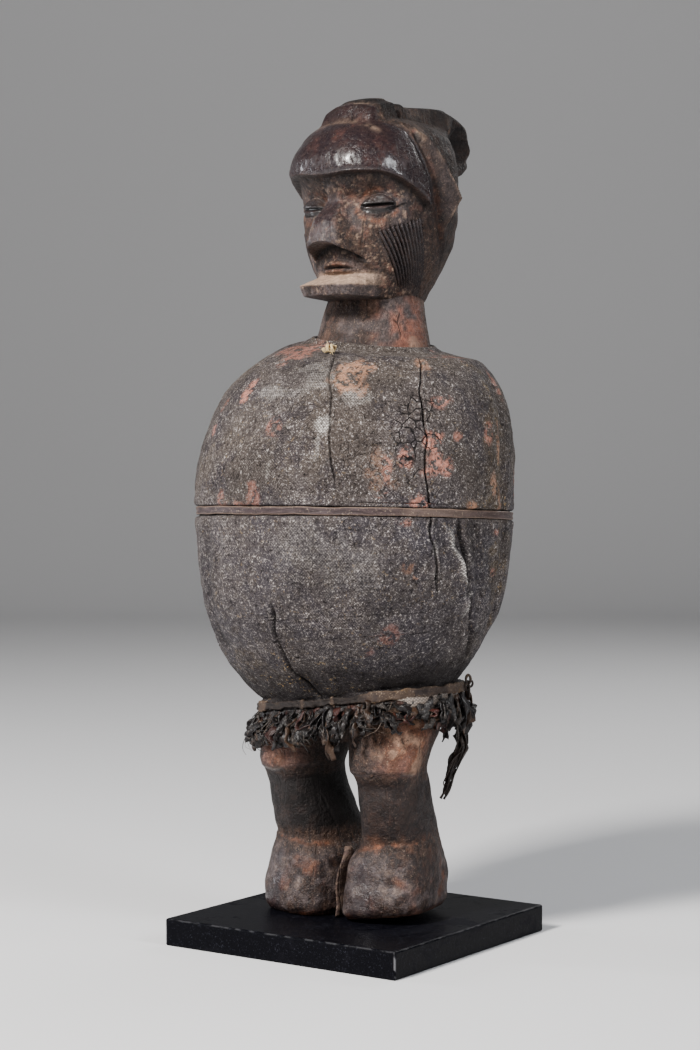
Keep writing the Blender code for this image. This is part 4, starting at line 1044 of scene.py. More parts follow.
# The stuffed cloth. Seams and pulled folds follow (direction in degrees, level) points
bundle = {
    "neck": 264.5, "girth": 197, "waist": 184.2, "hip": 99.8, "hem": 82,
    "halfWidth": 74, "halfDepth": 68.1, "full": 2.6, "square": 2.06, "forward": 2.5, "neckBack": 14,
    "over": 2.2, "gather": (44.6, 31, 3.5), "gatherSquare": 2.8, "gatherShare": 0.889, "gatherSpan": 52,
    "hemForward": 4.5, "hemEase": 1.4, "thick": 2.2, "clearance": 0.3,
    "stripHigh": 3.6, "stripThick": 1.3, "stripSink": 1.4, "stripRise": (0.011, 0.0445),
    "tieHigh": 4.8, "tieThick": 1.6, "tieRise": 0.134,
    "collarDrop": 2.6, "collarSpan": 11, "collarFall": (0.125, 0.046), "columns": 400, "rows": 216,
}
seams = (
    {"path": ((-3, 265), (9, 260.5), (14, 255.5), (21.5, 236), (24, 222.5), (25, 209.5), (27.5, 197.5)),
        "half": 0.45, "deep": 1.2, "raised": 0.45, "ends": (196, 262)},
    {"path": ((80, 265), (67, 261), (62, 258.5), (58.5, 255.5), (56.5, 240), (57.5, 226), (59, 210),
            (60.5, 196), (61.5, 187.5), (62.3, 176), (62.5, 171.5), (65, 159), (66.5, 147.5)),
        "half": 0.48, "deep": 1.4, "raised": 0.5, "ends": (146, 275)},
    {"path": ((73, 183), (74.5, 169), (81, 145.5), (88, 125.5), (93.5, 114.5), (95, 104)), "half": 1.2,
        "deep": 2.3, "raised": 0.5, "ends": (100, 180)},
    {"path": ((66, 180), (70, 170.5), (75.5, 158.5), (80.5, 144.5)), "half": 1.7, "deep": -1.9,
        "raised": 0.0, "ends": (136, 178)},
    {"path": ((79.5, 184), (83.5, 158.5), (88, 140)), "half": 2.2, "deep": 1.2, "raised": 0.3,
        "ends": (134, 186)},
    {"path": ((-1, 148), (-0.5, 141), (-3, 131.5), (-3.5, 122.5), (-5, 114.5), (0.5, 109), (3.5, 100)),
        "half": 0.75, "deep": 2.1, "raised": 0.8, "ends": (96, 144)},
    {"path": ((-32, 182), (-36, 163), (-46, 130)), "half": 4.5, "deep": 1.1, "raised": 0.5,
        "ends": (122, 190)},
    {"path": ((-26, 176), (-29, 150)), "half": 2.6, "deep": 0.7, "raised": 0.3, "ends": (140, 180)},
    {"path": ((99, 240), (97, 200), (103, 136)), "half": 4.0, "deep": 1.2, "raised": 0.5,
        "ends": (126, 246)},
    {"path": ((-96, 264), (-90, 106)), "half": 1.6, "deep": 2.0, "raised": 0.5, "ends": (104, 275)},
    {"path": ((128, 264), (122, 106)), "half": 1.5, "deep": 1.9, "raised": 0.5, "ends": (104, 275)},
    {"path": ((172, 264), (168, 106)), "half": 1.2, "deep": 2.3, "raised": 0.6, "ends": (104, 275)},
    {"path": ((-140, 264), (-134, 106)), "half": 1.4, "deep": 2.0, "raised": 0.5, "ends": (104, 275)},
    {"path": ((-150, 172), (-158, 112)), "half": 1.8, "deep": 1.7, "raised": 0.8, "ends": (102, 168)},
    {"path": ((-62, 150), (-66, 108)), "half": 1.6, "deep": 1.5, "raised": 0.7, "ends": (100, 146)},
    {"path": ((148, 160), (143, 108)), "half": 1.8, "deep": 1.6, "raised": 0.7, "ends": (100, 154)},
)
# Stains: direction, level, half width and half height in millimetres, strength
stains = {
    "pink": ((-13.5, 256, 9, 4, 0.8), (-23.5, 240.5, 3.5, 6.5, 0.85), (-39.5, 232.5, 2.5, 4.5, 0.7),
        (-39, 222.5, 2.5, 3, 0.6),
        (61.5, 216, 4.5, 5, 0.95), (62.5, 205, 5, 8, 0.95), (67, 205, 4, 4.5, 0.95), (51.5, 208, 4, 5, 0.9),
        (56.5, 188.5, 4.5, 3.5, 1.0), (66, 234.5, 6, 4, 0.7), (71, 218.5, 2.5, 2.5, 0.7),
        (87, 220, 3, 4.5, 0.7),
        (44, 192, 3, 2, 0.7), (-5.5, 190, 4, 6, 0.45), (-23.5, 190, 2.5, 5, 0.5), (69, 257.5, 10, 3, 0.8),
        (49, 127.5, 4, 4.5, 0.28), (40.5, 121, 3, 3, 0.3), (92, 259, 13, 4, 0.6), (-24, 260, 14, 3.5, 0.6),
        (104, 244, 3, 9, 0.5), (93, 155, 2, 2, 0.7), (92, 175.5, 3, 3, 0.7),
        (53, 179.5, 5, 3, 0.7), (46, 203, 2, 6, 0.6), (-12, 186.8, 8, 2, 0.5), (150, 236, 8, 6, 0.6),
        (-110, 214, 6, 9, 0.6), (-160, 244, 9, 4, 0.6), (120, 200, 4, 6, 0.6), (-70, 240, 5, 6, 0.6),
        (-128, 160, 5, 4, 0.5)),
    "ring": ((0, 222, 4.6, 5.0, 0.8),),
    "orange": ((27, 247, 8, 7.5, 0.8), (33, 240, 4, 3, 0.6), (54, 158.5, 4, 3.5, 0.5), (57, 155, 2, 2, 0.7),
        (60, 252, 4, 4, 0.5),
        (93, 214, 2.5, 8, 0.7), (90, 199, 2, 6, 0.6), (95, 190, 3, 8, 0.5), (79, 187, 3, 2.5, 0.8),
        (43, 202, 8, 9, 0.25), (180, 250, 10, 5, 0.6), (-80, 200, 5, 7, 0.4), (140, 170, 5, 5, 0.4)),
    "white": ((12, 245, 8, 7, 0.32), (7, 250, 9, 4, 0.3), (21.3, 223.5, 3.4, 4.0, 0.95),
        (20, 214, 1.4, 7, 0.35), (32, 236, 6, 3.5, 0.35),
        (-6, 238, 9, 3, 0.35), (1.5, 198, 0.5, 13, 0.55), (35, 156, 14, 12, 0.13), (14, 168, 16, 12, 0.13),
        (64, 168, 2, 5, 0.45),
        (69, 175, 2, 6, 0.6), (-60, 226, 10, 8, 0.3), (160, 214, 8, 8, 0.4), (-150, 190, 9, 7, 0.3)),
    "crackle": ((54, 222, 12, 22, 1.0), (12, 230, 22, 12, 0.45), (36, 205, 18, 14, 0.45),
        (-12, 205, 20, 14, 0.35), (28, 165, 24, 20, 0.25),
        (135, 222, 20, 24, 0.8), (-120, 190, 24, 26, 0.6), (176, 160, 24, 20, 0.5)),
    "olive": ((92, 215, 9, 38, 0.9), (99, 165, 12, 40, 0.8), (81, 186, 10, 5, 0.5),
        (-30, 118, 16, 12, 0.45), (-126, 230, 16, 14, 0.5), (155, 130, 24, 16, 0.5)),
}


def bundleAxis(level):
    # set back of the bundle's axis, forward at its girth and back at neck and hips
    rise = np.clip((level - bundle["girth"]) / (bundle["neck"] - bundle["girth"]), 0, 1)
    fall = np.clip((bundle["girth"] - level) / (bundle["girth"] - bundle["hip"]), 0, 1)
    return (-bundle["forward"] + (bundle["forward"] + bundle["neckBack"]) * rise**1.3
        + (bundle["forward"] + bundle["gather"][2]) * fall**6)


def bundleHalves(level):
    # superellipse profile (1 - s^n)^(1/n) above and below the girth, eased to the gathered hips
    top = bundle["neck"] + bundle["over"] - bundle["girth"]
    bottom = (bundle["girth"] - bundle["hip"]) / bundle["gatherShare"]
    share = np.where(level > bundle["girth"], (level - bundle["girth"]) / top,
        (bundle["girth"] - level) / bottom)
    n = bundle["full"]
    full = (1 - np.clip(share, 0, 0.999) ** n) ** (1 / n)
    tied = (1 - bundle["gatherShare"] ** n) ** (1 / n)
    eased = ease(bundle["hip"] + bundle["gatherSpan"], bundle["hip"], level)
    return [half * full + (gather - half * tied) * eased
        for half, gather in ((bundle["halfWidth"], bundle["gather"][0]),
            (bundle["halfDepth"], bundle["gather"][1]))]


def tilt(x, y, level):
    # how the slant of the strip, the tie and the collar lifts the cloth
    strip = np.interp(level, (bundle["hip"], bundle["waist"], bundle["neck"]), (0, 1, 0))
    tie = np.interp(level, (bundle["hip"], bundle["waist"]), (1, 0))
    collar = ease(bundle["neck"] - bundle["collarSpan"], bundle["neck"], level)
    sunk = bundle["collarDrop"] + bundle["collarFall"][0] * x - bundle["collarFall"][1] * y
    return (strip * (bundle["stripRise"][0] * x - bundle["stripRise"][1] * y) + tie * bundle["tieRise"] * x
        - collar * sunk)


def onBundle(angle, level, radius):
    # a point of the bundle: radius out from its axis in one direction, lifted by the tilt there
    x = radius * np.sin(angle)
    y = bundleAxis(level) - radius * np.cos(angle)
    return inPlace(x, y, level + tilt(x, y, level))


def insideCloth(angle, level, away):
    # the cloth's inner face: the body's own sections, and below one plain gathered outline round the hips
    away = away + 2 * bundle["clearance"]
    lifted = tilt(*bodySection(angle, level), level)
    x, y = bodySection(angle, level + np.clip(lifted, -9, 0) * (level > 200))
    hang = ease(96.8, bundle["hem"], level)
    halfWidth, halfDepth, back = bundle["gather"]
    reach = (sectionReach(angle, halfWidth, halfDepth, bundle["gatherSquare"]) + bundle["hemEase"] * hang
        + away)
    hips = ease(bundle["hip"] + 44, bundle["hip"] + 22, level)
    x, y = x + away * np.sin(angle), y - away * np.cos(angle)
    x = x + (reach * np.sin(angle) - x) * hips
    y = y + (back - bundle["hemForward"] * hang - reach * np.cos(angle) - y) * hips
    return inPlace(x, y, level + tilt(x, y, level))


def seamRelief(angle, level, radius):
    # each seam is a bell-shaped groove between two raised lips, measured in millimetres round the bundle
    # dark is painted shade in the narrow grooves, pale a painted highlight along the raised fold
    depth, dark, pale = (np.zeros_like(angle) for _ in range(3))
    for seam in seams:
        path = np.array(seam["path"], float)[::-1]
        aim = np.radians(np.interp(level, path[:, 1], path[:, 0]))
        aim = aim + np.radians(0.9) * latticeNoise(np.stack([level, level * 0, level * 0], -1), 7,
            int(path[0, 1])) * (seam["half"] < 2)
        away = wrapTurn(angle - aim) * radius
        low, high = seam["ends"]
        ends = ease(low - 6, low + 7, level) * ease(high + 4, high - 5, level)
        groove = bell(away / seam["half"])
        lips = bell((np.abs(away) - 2.3 * seam["half"]) / (1.3 * seam["half"]))
        depth += ends * (seam["deep"] * groove - seam["raised"] * lips)
        if seam["half"] < 2.1 and seam["deep"] > 0:
            # painted shade in the grooves, weaker below the strip for the seams round the side
            shade = 1 - 0.6 * ease(186, 176, level) * ease(40, 50, seam["path"][0][0])
            dark += ends * bell(away / (seam["half"] * 0.7)) * min(1.0, seam["deep"] / 2.0) * shade
        if seam["deep"] < 0:
            # painted highlight along the raised fold
            pale += ends * bell((away - 0.4) / 1.0)
    return depth, np.clip(dark, 0, 1), pale


def stainField(angle, level, radius, body, spots):
    # ellipses of stain with edges broken by noise
    total = np.zeros_like(angle)
    ragged = 0.55 * layered(body, 7, 93)
    for direction, high, wide, tall, strength in spots:
        away = wrapTurn(angle - math.radians(direction)) * radius
        total = np.maximum(total, strength
            * ease(1.15, 0.55, np.hypot(away / wide, (level - high) / tall) + ragged))
    return total


def bundleShell():
    # rows run down the outside from the collar to the tie, then up the bore; columns crowd at the seams
    outside = crowdedLine(103, 263.5, bundle["rows"],
        [(184.2, 3.2, 2.2), (262, 5, 1.5), (106, 6, 0.6)])[::-1]
    rows = []
    for level in outside:
        crowd = []
        for seam in seams:
            if (seam["half"] < 2 and seam["ends"][0] - 8 < level < seam["ends"][1] + 8
                    and -30 < seam["path"][0][0] < 110):
                path = np.array(seam["path"], float)[::-1]
                crowd.append((float(np.interp(level, path[:, 1], path[:, 0])), 2.6, 3.2))
        rows.append(crowdedRound(bundle["columns"], crowd))
    angle = np.array(rows)
    level = np.broadcast_to(outside[:, None], angle.shape)
    width, depth = bundleHalves(level)
    radius = sectionReach(angle, width, depth, bundle["square"])
    groove, dark, pale = seamRelief(angle, level, radius)
    fromStrip = np.abs(level - bundle["waist"]) / bundle["stripHigh"]
    pressed = ease(0.70, 0.53, fromStrip)
    calm = ease(0.55, 0.95, fromStrip)
    body = onBundle(angle, level, radius) / mm
    lumps = 0.85 * layered(body, 26, 7, 2) + 0.36 * layered(body, 8, 17) + 0.16 * layered(body, 2.2, 27, 2)
    pleats = layered(np.stack([np.sin(angle) * 60, np.cos(angle) * 60, level * 0.12], -1), 6.5, 37, 2)
    lumps = lumps + 1.1 * pleats * ease(128, 104, level) + 0.8 * pleats * ease(248, 264, level)
    lumps = lumps * calm * ease(266, 258, level) + 0.25 * bump((fromStrip - 1.3) / 0.8)
    surface = (radius - groove * (1 - pressed * (groove < 0)) * np.maximum(calm, 0.45)
        - bundle["stripSink"] * pressed + lumps)
    out = onBundle(angle, level, surface)
    # collar, then the bore
    first, last = angle[0], angle[-1]
    collar = [insideCloth(first, np.full_like(first, at), away)
        for at, away in ((265.9, 0.7), (265.9, 1.6), (265.1, 2.4))]
    seat = [insideCloth(last, np.full_like(last, at), away)
        for at, away in ((102.2, 2.3), (99.8, 2.2), (96.8, 2.2), (95.6, 1.4))]
    bore = [insideCloth(last, np.full_like(last, at), 0.0)
        for at in (95.6, 100, 112, 121, 144, 190, 240, 258)]
    collar.insert(0, insideCloth(first, np.full_like(first, 265.0), 0.0))
    points = np.concatenate([np.array(collar), out, np.array(seat), np.array(bore)])
    before, after = len(collar), len(seat) + len(bore)
    place = points[before:-after] / mm
    fields = {name: stainField(angle, level, radius, place, spots) for name, spots in stains.items()}
    ring = fields["ring"] * ease(0.35, 0.6, np.hypot(wrapTurn(angle) * radius / 4.6, (level - 222) / 5))
    low = ease(122, 104, level)
    wide = layered(place, 34, 61)
    gold = ease(128, 106, level) * bump(wrapTurn(angle + 0.25) / 1.3) + 0.35 * fields["olive"] + 0.12
    gold = gold * ease(-0.2, 0.35, layered(place, 7, 63))
    bluish = ease(205, 165, level) * (0.75 + 0.4 * wide) + 0.35 * ease(0.1, 0.6, wide)
    bare = 0.85 * ease(0.25, 0.75, layered(place, 17, 65)) * (1 - low)
    dirt = np.stack([gold, bluish, bare], -1)
    # painted shade in the seams and towards the bottom, darker along the strip's edges, random dark patches
    shadeAndDirt = np.clip(0.85 * dark + 0.35 * low + 0.22 * ease(150, 108, level)
        + 0.3 * ease(0.0, 0.6, layered(place, 21, 67)) + 0.55 * ease(0.74, 0.56, fromStrip), 0, 1)
    lips = ease(0.02, 0.3, np.clip(-groove, 0, None)) * ease(0.2, 0.8, layered(place, 2.0, 6, 2))
    # white: white stains, pale seam lips, and a painted highlight along the raised fold
    stain = np.stack([np.maximum(fields["pink"], ring), fields["orange"],
            np.maximum(fields["white"], 0.25 * lips + 2.2 * pale * ease(-1.3, 0.2, layered(place, 5, 66)))],
        -1)
    crust = np.stack([fields["crackle"], fields["olive"], shadeAndDirt], -1)
    def padded(value):
        # the hidden rows repeat the values of their neighbours
        return np.concatenate([np.repeat(value[:1], before, 0), value, np.repeat(value[-1:], after, 0)])
    marks = {"stainAndLightTint": np.clip(padded(stain), 0, 1), "crustAndShadeTint": np.clip(padded(crust), 0, 1),
        "dirtTint": np.clip(padded(dirt), 0, 1)}
    run = np.concatenate([[0], np.cumsum(np.linalg.norm(np.diff(points, axis=0), axis=-1).mean(1))])
    run = np.append(run, run[-1] + 0.004)
    allAngles = np.concatenate([np.repeat(first[None], before, 0), angle,
            np.repeat(last[None], after + 1, 0)])
    allAngles = np.concatenate([allAngles, allAngles[:, :1] + 2 * math.pi], 1)
    uv = np.stack([allAngles * bundle["halfWidth"] * mm, np.broadcast_to(run[:, None], allAngles.shape)],
        -1)
    return gridShell(points, loop=True, marks=marks, uv=uv)


bundleCloth = makeBundleCloth()
clothBundle = buildPiece("clothBundle", [bundleShell()], bundleCloth, ["cloth_wrapping"])
print("bundle stuffed")

# Ragged hem: a crumpled skirt, torn strips, loose threads, one long shred and a flap of clean weave
ragged = {
    "skirtColumns": 520, "strips": 300, "clumps": 58, "threads": 380, "seed": 29,
    "round": 45, "top": 97.5, "tornAt": 52, "tornSpan": 20, "shredStrands": 26,
    "shred": ((45, 19, 96), (47.2, 18.5, 90), (45.6, 15, 84), (43.0, 12, 77), (41.8, 10.5, 71),
        (40.6, 9.5, 66.5)),
    "flapFrom": 50, "flapTurn": 50, "flapTop": 98.6, "flapColumns": 46, "flapRows": 20,
}


def tornAway(angle, span):
    # 1 where the hem is torn off over the left thigh, exp(-(d / span)^4)
    return np.exp(-(((wrapTurn(angle) - math.radians(ragged["tornAt"])) / math.radians(span)) ** 4))


def hemLevel(angle):
    # lower edge of the skirt: torn away over the left thigh, ragged everywhere
    around = roundPoints(angle, ragged["round"])
    torn = tornAway(angle, ragged["tornSpan"] + 1)
    cut = 3.4 * layered(around, 7, 5) + 1.6 * latticeNoise(around, 1.6, 9)
    return bundle["hem"] + 1.0 + cut * (1 - 0.5 * torn) + 10.5 * torn


def skirtShell():
    # outside down and inside up, ruffled more towards the edge: away = thickness + ruffle(angle) * share
    angle = crowdedRound(ragged["skirtColumns"], [])
    share = np.concatenate([np.linspace(0, 0.94, 20), [0.98, 1.0]])
    around = roundPoints(angle, ragged["round"])
    hem = hemLevel(angle)
    rings, tone = [], []
    for inside in (0, 1):
        for s in (share if not inside else share[::-1]):
            level = ragged["top"] + (hem - ragged["top"]) * s
            height = np.stack([around[:, 0], around[:, 1], level * 0.8], -1)
            ruffle = 2.3 * layered(height, 6.5, 3, 2) + 1.5 * layered(height, 2.6, 4, 2)
            away = 2.3 + ruffle * ease(0, 0.4, s) + 1.4 * math.sin(math.pi * s) - 1.2 * inside
            rings.append(insideCloth(angle, level, np.maximum(away, 0.25 + 0.9 * (1 - inside))))
            red = 0.35 * ease(0.4, 0.75, layered(height, 5, 33))
            tone.append(np.stack([0.10 * ease(1.2, 2.6, ruffle), 0.35 * ease(0.8, 2.4, ruffle), red], -1))
    points = np.array(rings)
    columns = np.append(angle, angle[0] + 2 * math.pi) * ragged["round"] * mm
    run = np.concatenate([share, 2 - share[::-1], [2.0]]) * 15 * mm
    uv = np.stack(np.broadcast_arrays(columns[None, :], run[:, None]), -1)
    return gridShell(points, loop=True, marks={"stainAndLightTint": np.array(tone)}, uv=uv)


def ribbonShells(paths, across, width, thick, tone, sides):
    # flat strips swept along paths (n, steps, 3): ring = centre + across * w cos + normal * t sin
    along = np.gradient(paths, axis=1)
    along /= np.linalg.norm(along, axis=-1, keepdims=True)
    across = across - along * np.sum(across * along, -1, keepdims=True)
    across /= np.linalg.norm(across, axis=-1, keepdims=True)
    normal = np.cross(along, across)
    turn = np.arange(sides) * 2 * math.pi / sides
    ring = (across[:, :, None] * (width[:, :, None] * np.cos(turn))[..., None]
        + normal[:, :, None] * (thick[:, :, None] * np.sin(turn))[..., None])
    points = paths[:, :, None] + ring
    shells = []
    steps = paths.shape[1]
    run = np.linalg.norm(np.diff(paths, axis=1), axis=-1).cumsum(1)
    run = np.concatenate([np.zeros((len(paths), 1)), run], 1)
    column = np.arange(sides + 1) / sides
    for strip in range(len(paths)):
        uv = np.stack(np.broadcast_arrays(column[None, :] * 4 * width[strip].max() + 0.01 * strip,
                run[strip][:, None]), -1)
        marks = {"stainAndLightTint": np.broadcast_to(tone[strip], (steps, sides, 3)).copy()}
        shells.append(gridShell(points[strip], (points[strip][0].mean(0), points[strip][-1].mean(0)),
                marks=marks, uv=uv))
    return shells


def hangingPaths(angle, level, length, bulge, drift, curl, steps, away, random):
    # fall = length * (s - curl s^3), swing out = bulge sin(pi s), drift round the hips as s^2, with wander
    s = np.linspace(0, 1, steps)[None, :]
    wander = random.normal(size=(len(angle), 3, 2))
    phase = random.uniform(0, 6.28, (len(angle), 3, 1))
    wave = [0.9 * wander[:, i, :1] * np.sin(s * 5 + phase[:, i])
        + 0.6 * wander[:, i, 1:] * np.sin(s * 13 + phase[:, i]) for i in range(3)]
    down = length[:, None] * (s - curl[:, None] * s**3)
    out = bulge[:, None] * np.sin(math.pi * s**0.8) + 0.5 * wave[0]
    turn = angle[:, None] + (drift[:, None] * s**2 + 0.6 * wave[1]) / 46
    height = level[:, None] - down + 0.5 * wave[2]
    return insideCloth(turn, height, away[:, None] + out)


def tangentAt(angle):
    # the level direction round the hips, (cos, sin, 0)
    return np.stack([np.cos(angle), np.sin(angle), 0 * angle], -1)


def fringeShells():
    # strips hang in clumps: a shared direction, length and drift, each strip a little off it
    random = np.random.default_rng(ragged["seed"])
    n, clumps = ragged["strips"], ragged["clumps"]
    clump = random.integers(0, clumps, n)
    middle = np.linspace(-math.pi, math.pi, clumps, endpoint=False) + random.normal(0, 0.04, clumps)
    angle = middle[clump] + random.normal(0, 0.055, n)
    torn = tornAway(angle, ragged["tornSpan"])
    short = 1 - 0.3 * bump(wrapTurn(angle + 1.1) / 0.7)
    length = ((random.uniform(8, 18, clumps)[clump] + random.normal(0, 2.2, n)).clip(4, 19)
        * (1 - 0.5 * torn) * short)
    level = random.uniform(89, ragged["top"], n)
    drift = random.normal(0, 3.5, clumps)[clump] + random.normal(0, 1.5, n)
    paths = hangingPaths(angle, level, length, random.uniform(0.2, 3.0, n), drift,
        random.uniform(-0.1, 0.6, n), 17, random.uniform(2.0, 5.0, n), random)
    s = np.linspace(0, 1, 17)[None, :]
    phase = random.uniform(0, 6.28, (n, 1))
    width = (random.uniform(0.8, 2.6, n)[:, None] * (1 - 0.3 * s**2)
        * (1 + 0.22 * np.sin(s * 11 + phase) + 0.12 * np.sin(s * 27 + 2 * phase)) * mm)
    thick = random.uniform(0.3, 0.55, n)[:, None] * (1 - 0.5 * s**3) * mm
    twist = (random.normal(0, 1.4, n)[:, None] * s + random.uniform(-1.0, 1.0, n)[:, None]
        + 0.5 * np.sin(s * 8 + phase))
    flat, outward = (tangentAt(angle)[:, None],
        np.stack([np.sin(angle), -np.cos(angle), 0 * angle], -1)[:, None])
    across = flat * np.cos(twist)[..., None] + outward * np.sin(twist)[..., None]
    tone = np.stack([random.uniform(0, 0.22, n) * (random.random(n) < 0.2),
            random.uniform(0, 0.6, n) * (random.random(n) < 0.18),
            random.uniform(0, 0.7, n) * (random.random(n) < 0.07)], -1)
    shells = ribbonShells(paths, across, width, thick, tone, 8)
    # loose threads
    n = ragged["threads"]
    angle = random.uniform(-math.pi, math.pi, n)
    torn = tornAway(angle, ragged["tornSpan"])
    length = random.uniform(4, 14, n) * (1 - 0.3 * torn)
    paths = hangingPaths(angle, random.uniform(88, 98, n), length, random.uniform(0.2, 3.0, n),
        random.normal(0, 5, n), random.uniform(-0.1, 0.9, n), 9, random.uniform(2.0, 4.8, n), random)
    s = np.linspace(0, 1, 9)[None, :]
    girth = random.uniform(0.13, 0.26, n)[:, None] * (1 - 0.6 * s) * mm
    tone = np.stack([random.uniform(0.1, 0.7, n) * (random.random(n) < 0.15 + 0.5 * torn),
            random.uniform(0, 1, n) * (random.random(n) < 0.2), 0 * angle], -1)
    across = np.broadcast_to(tangentAt(angle)[:, None], paths.shape)
    shells += ribbonShells(paths, across, girth, girth, tone, 3)
    # the long shred at the left
    guide = np.array(ragged["shred"]) * mm
    n = ragged["shredStrands"]
    s = np.linspace(0, 1, 22)
    centre = np.stack([np.interp(s, np.linspace(0, 1, len(guide)), guide[:, i]) for i in range(3)], -1)
    spread = (random.normal(size=(n, 1, 3)) * [1.2, 1.2, 1.0] * (1 - 0.75 * s**0.7)[None, :, None]
        + 0.7 * np.sin(s[None, :, None] * random.uniform(4, 11, (n, 1, 3))
            + random.uniform(0, 6, (n, 1, 3)))) * mm
    shorten = random.uniform(0.55, 1.0, n)[:, None, None]
    paths = centre[0] + (centre[None] - centre[0]) * shorten + spread
    twist = random.uniform(0, 3, n)[:, None] + s[None] * random.normal(0, 3, n)[:, None]
    across = np.stack([np.cos(twist), np.sin(twist), 0.2 + 0 * twist], -1)
    width = (random.uniform(0.35, 1.1, n)[:, None] * (1 - 0.45 * s[None])
        * (1 + 0.3 * np.sin(s[None] * 14 + 9 * twist[:, :1])) * mm + 0.12 * mm)
    tone = np.stack([random.uniform(0, 0.18, n), random.uniform(0, 0.15, n), 0 * shorten[:, 0, 0]], -1)
    shells += ribbonShells(paths, across, width, np.full_like(width, 0.42 * mm) * (1 - 0.4 * s[None]), tone,
        6)
    return shells


def flapShell():
    # a tongue of clean weave bulging out under the tie at the left: a thin pillow over (direction, level)
    columns, rows, turn = ragged["flapColumns"], ragged["flapRows"], ragged["flapTurn"]
    across, s = np.meshgrid(np.linspace(0, 1, columns), np.linspace(0, 1, rows))
    angle = np.radians(ragged["flapFrom"] + turn * across)
    lower = (99.5 - (7.5 + 2.2 * np.sin(across * 7) * across) * ease(0, 0.25, across)
        * ease(1.05, 0.8, across))
    level = ragged["flapTop"] + (lower - 99.5) * s
    swell = 2.2 * np.sin(math.pi * np.clip(s, 0, 0.94)) ** 0.7 * np.sin(math.pi * across) ** 0.5
    noise = 0.35 * latticeNoise(np.stack([across * 30, s * 9, s * 0], -1), 3, 8)
    outer = insideCloth(angle, level, 2.6 + swell + noise)
    inner = insideCloth(angle, level, 1.9 + swell + noise)
    # a closed loop round each column of the tongue: out and back
    points = np.concatenate([outer, inner[::-1]]).transpose(1, 0, 2)
    pale = 0.75 - 0.3 * across + 0.3 * bump((across - 0.2) / 0.15)
    tone = np.stack([pale, 0.15 * np.ones_like(across), np.zeros_like(across)], -1)
    tone = np.concatenate([tone, tone[::-1]]).transpose(1, 0, 2)
    u = np.radians(turn * np.linspace(0, 1, columns)) * 47 * mm
    v = np.concatenate([np.linspace(0, 9, rows), np.linspace(9.5, 18, rows), [19]]) * mm
    uv = np.stack(np.broadcast_arrays(u[:, None], v[None, :]), -1)
    ends = (points[0].mean(0), points[-1].mean(0))
    return gridShell(points, ends, marks={"stainAndLightTint": tone}, uv=uv)


raggedCloth = makeRaggedCloth()
hemShells = [skirtShell(), flapShell(), *fringeShells()]
frayedHem = buildPiece("frayedHem", hemShells, raggedCloth, ["cloth_wrapping"])
print("hem frayed")

# The strip round the girth, the tie at the hips and the straw knot at the neck
strip = {
    "columns": 420, "sides": 14, "round": 60, "paleAt": 75, "paleSpan": 45,
    "finish": {"dull": (0.016, 0.010, 0.011), "bright": (0.046, 0.031, 0.034),
        "edge": (0.155, 0.104, 0.078), "roughness": 0.48, "fibres": 2400.0, "cover": 0.3},
}
tie = {
    "columns": 420, "sides": 16, "rough": 0.5, "strands": 150, "level": bundle["hip"] - 0.3, "knotAt": 110,
    "finish": {"dull": (0.013, 0.0085, 0.006), "bright": (0.066, 0.040, 0.019),
        "edge": (0.18, 0.105, 0.044), "roughness": 0.7, "fibres": 2400.0, "cover": 0.95},
    # knot loops: aside, up, half width, half height, pinch, cord, lean
    "loops": ((0, 0, 2.4, 2.0, 0.9, 1.7, 0.3), (0.5, 2.6, 2.2, 2.6, 1.0, 1.5, 1.2),
        (-0.4, -2.8, 2.0, 2.4, 0.9, 1.4, -0.7), (1.6, 0.4, 2.6, 1.6, 0.7, 1.2, 0.9)),
    "loopSteps": 28, "loopSides": 10,
}
straw = {
    "strands": 7, "ends": 9, "seed": 7,
    "finish": {"dull": (0.20, 0.125, 0.055), "bright": (0.46, 0.33, 0.16), "edge": (0.66, 0.50, 0.28),
        "roughness": 0.8, "fibres": 3000.0, "cover": 0.2},
}


def bandShell(seat, level, high, thick, columns, sides, tone, rough=0.1, twistStrands=0):
    # rounded rectangle carried round the cloth: out = t/2 + t/2 c, up = h/2 s, with a groove along its
    # middle and an uneven surface of rough millimetres
    angle = np.arange(columns) * 2 * math.pi / columns
    turn = np.arange(sides) * 2 * math.pi / sides
    c, sn = np.cos(turn), np.sin(turn)
    out = np.sign(c) * np.abs(c) ** 0.55
    up = np.sign(sn) * np.abs(sn) ** 0.55
    around = roundPoints(angle, strip["round"])
    wave = (0.16 + 0.6 * rough) * layered(around, 14, 3)
    light, dark = tone(angle)
    girth = (1 + 0.6 * rough * layered(around, 5, 19)) * (1 - 0.35 * dark)
    rings = []
    for o, u in zip(out, up):
        groove = 0.28 * bell(u / 0.3) * (o > 0.3) * thick
        strand = 0.16 * np.sin(twistStrands * angle + 2.4 * u) * (o > 0) if twistStrands else 0
        reach = (bundle["clearance"] + thick * (0.5 + 0.5 * o) - groove + strand
            + rough * layered(around + 2 * u, 3, 7, 2))
        ring = seat(angle, np.full_like(angle, level), reach)
        ring[:, 2] += (u * high / 2 * girth + wave) * mm
        rings.append(ring)
    points = np.array(rings).transpose(1, 0, 2)
    edge = np.broadcast_to((ease(0.55, 0.95, np.abs(up)) * (out > -0.5))[None, :], (columns, sides))
    # marks: rubbed edges, painted sheen and dark
    marks = {"stainAndLightTint": np.stack(np.broadcast_arrays(edge, light[:, None], dark[:, None]), -1)}
    u = np.append(angle, 2 * math.pi)[:, None] * 70 * mm
    v = np.append(turn, 2 * math.pi)[None, :] * high / 4 * mm
    return gridShell(points, loop=True, marks=marks, uv=np.stack(np.broadcast_arrays(u, v), -1))


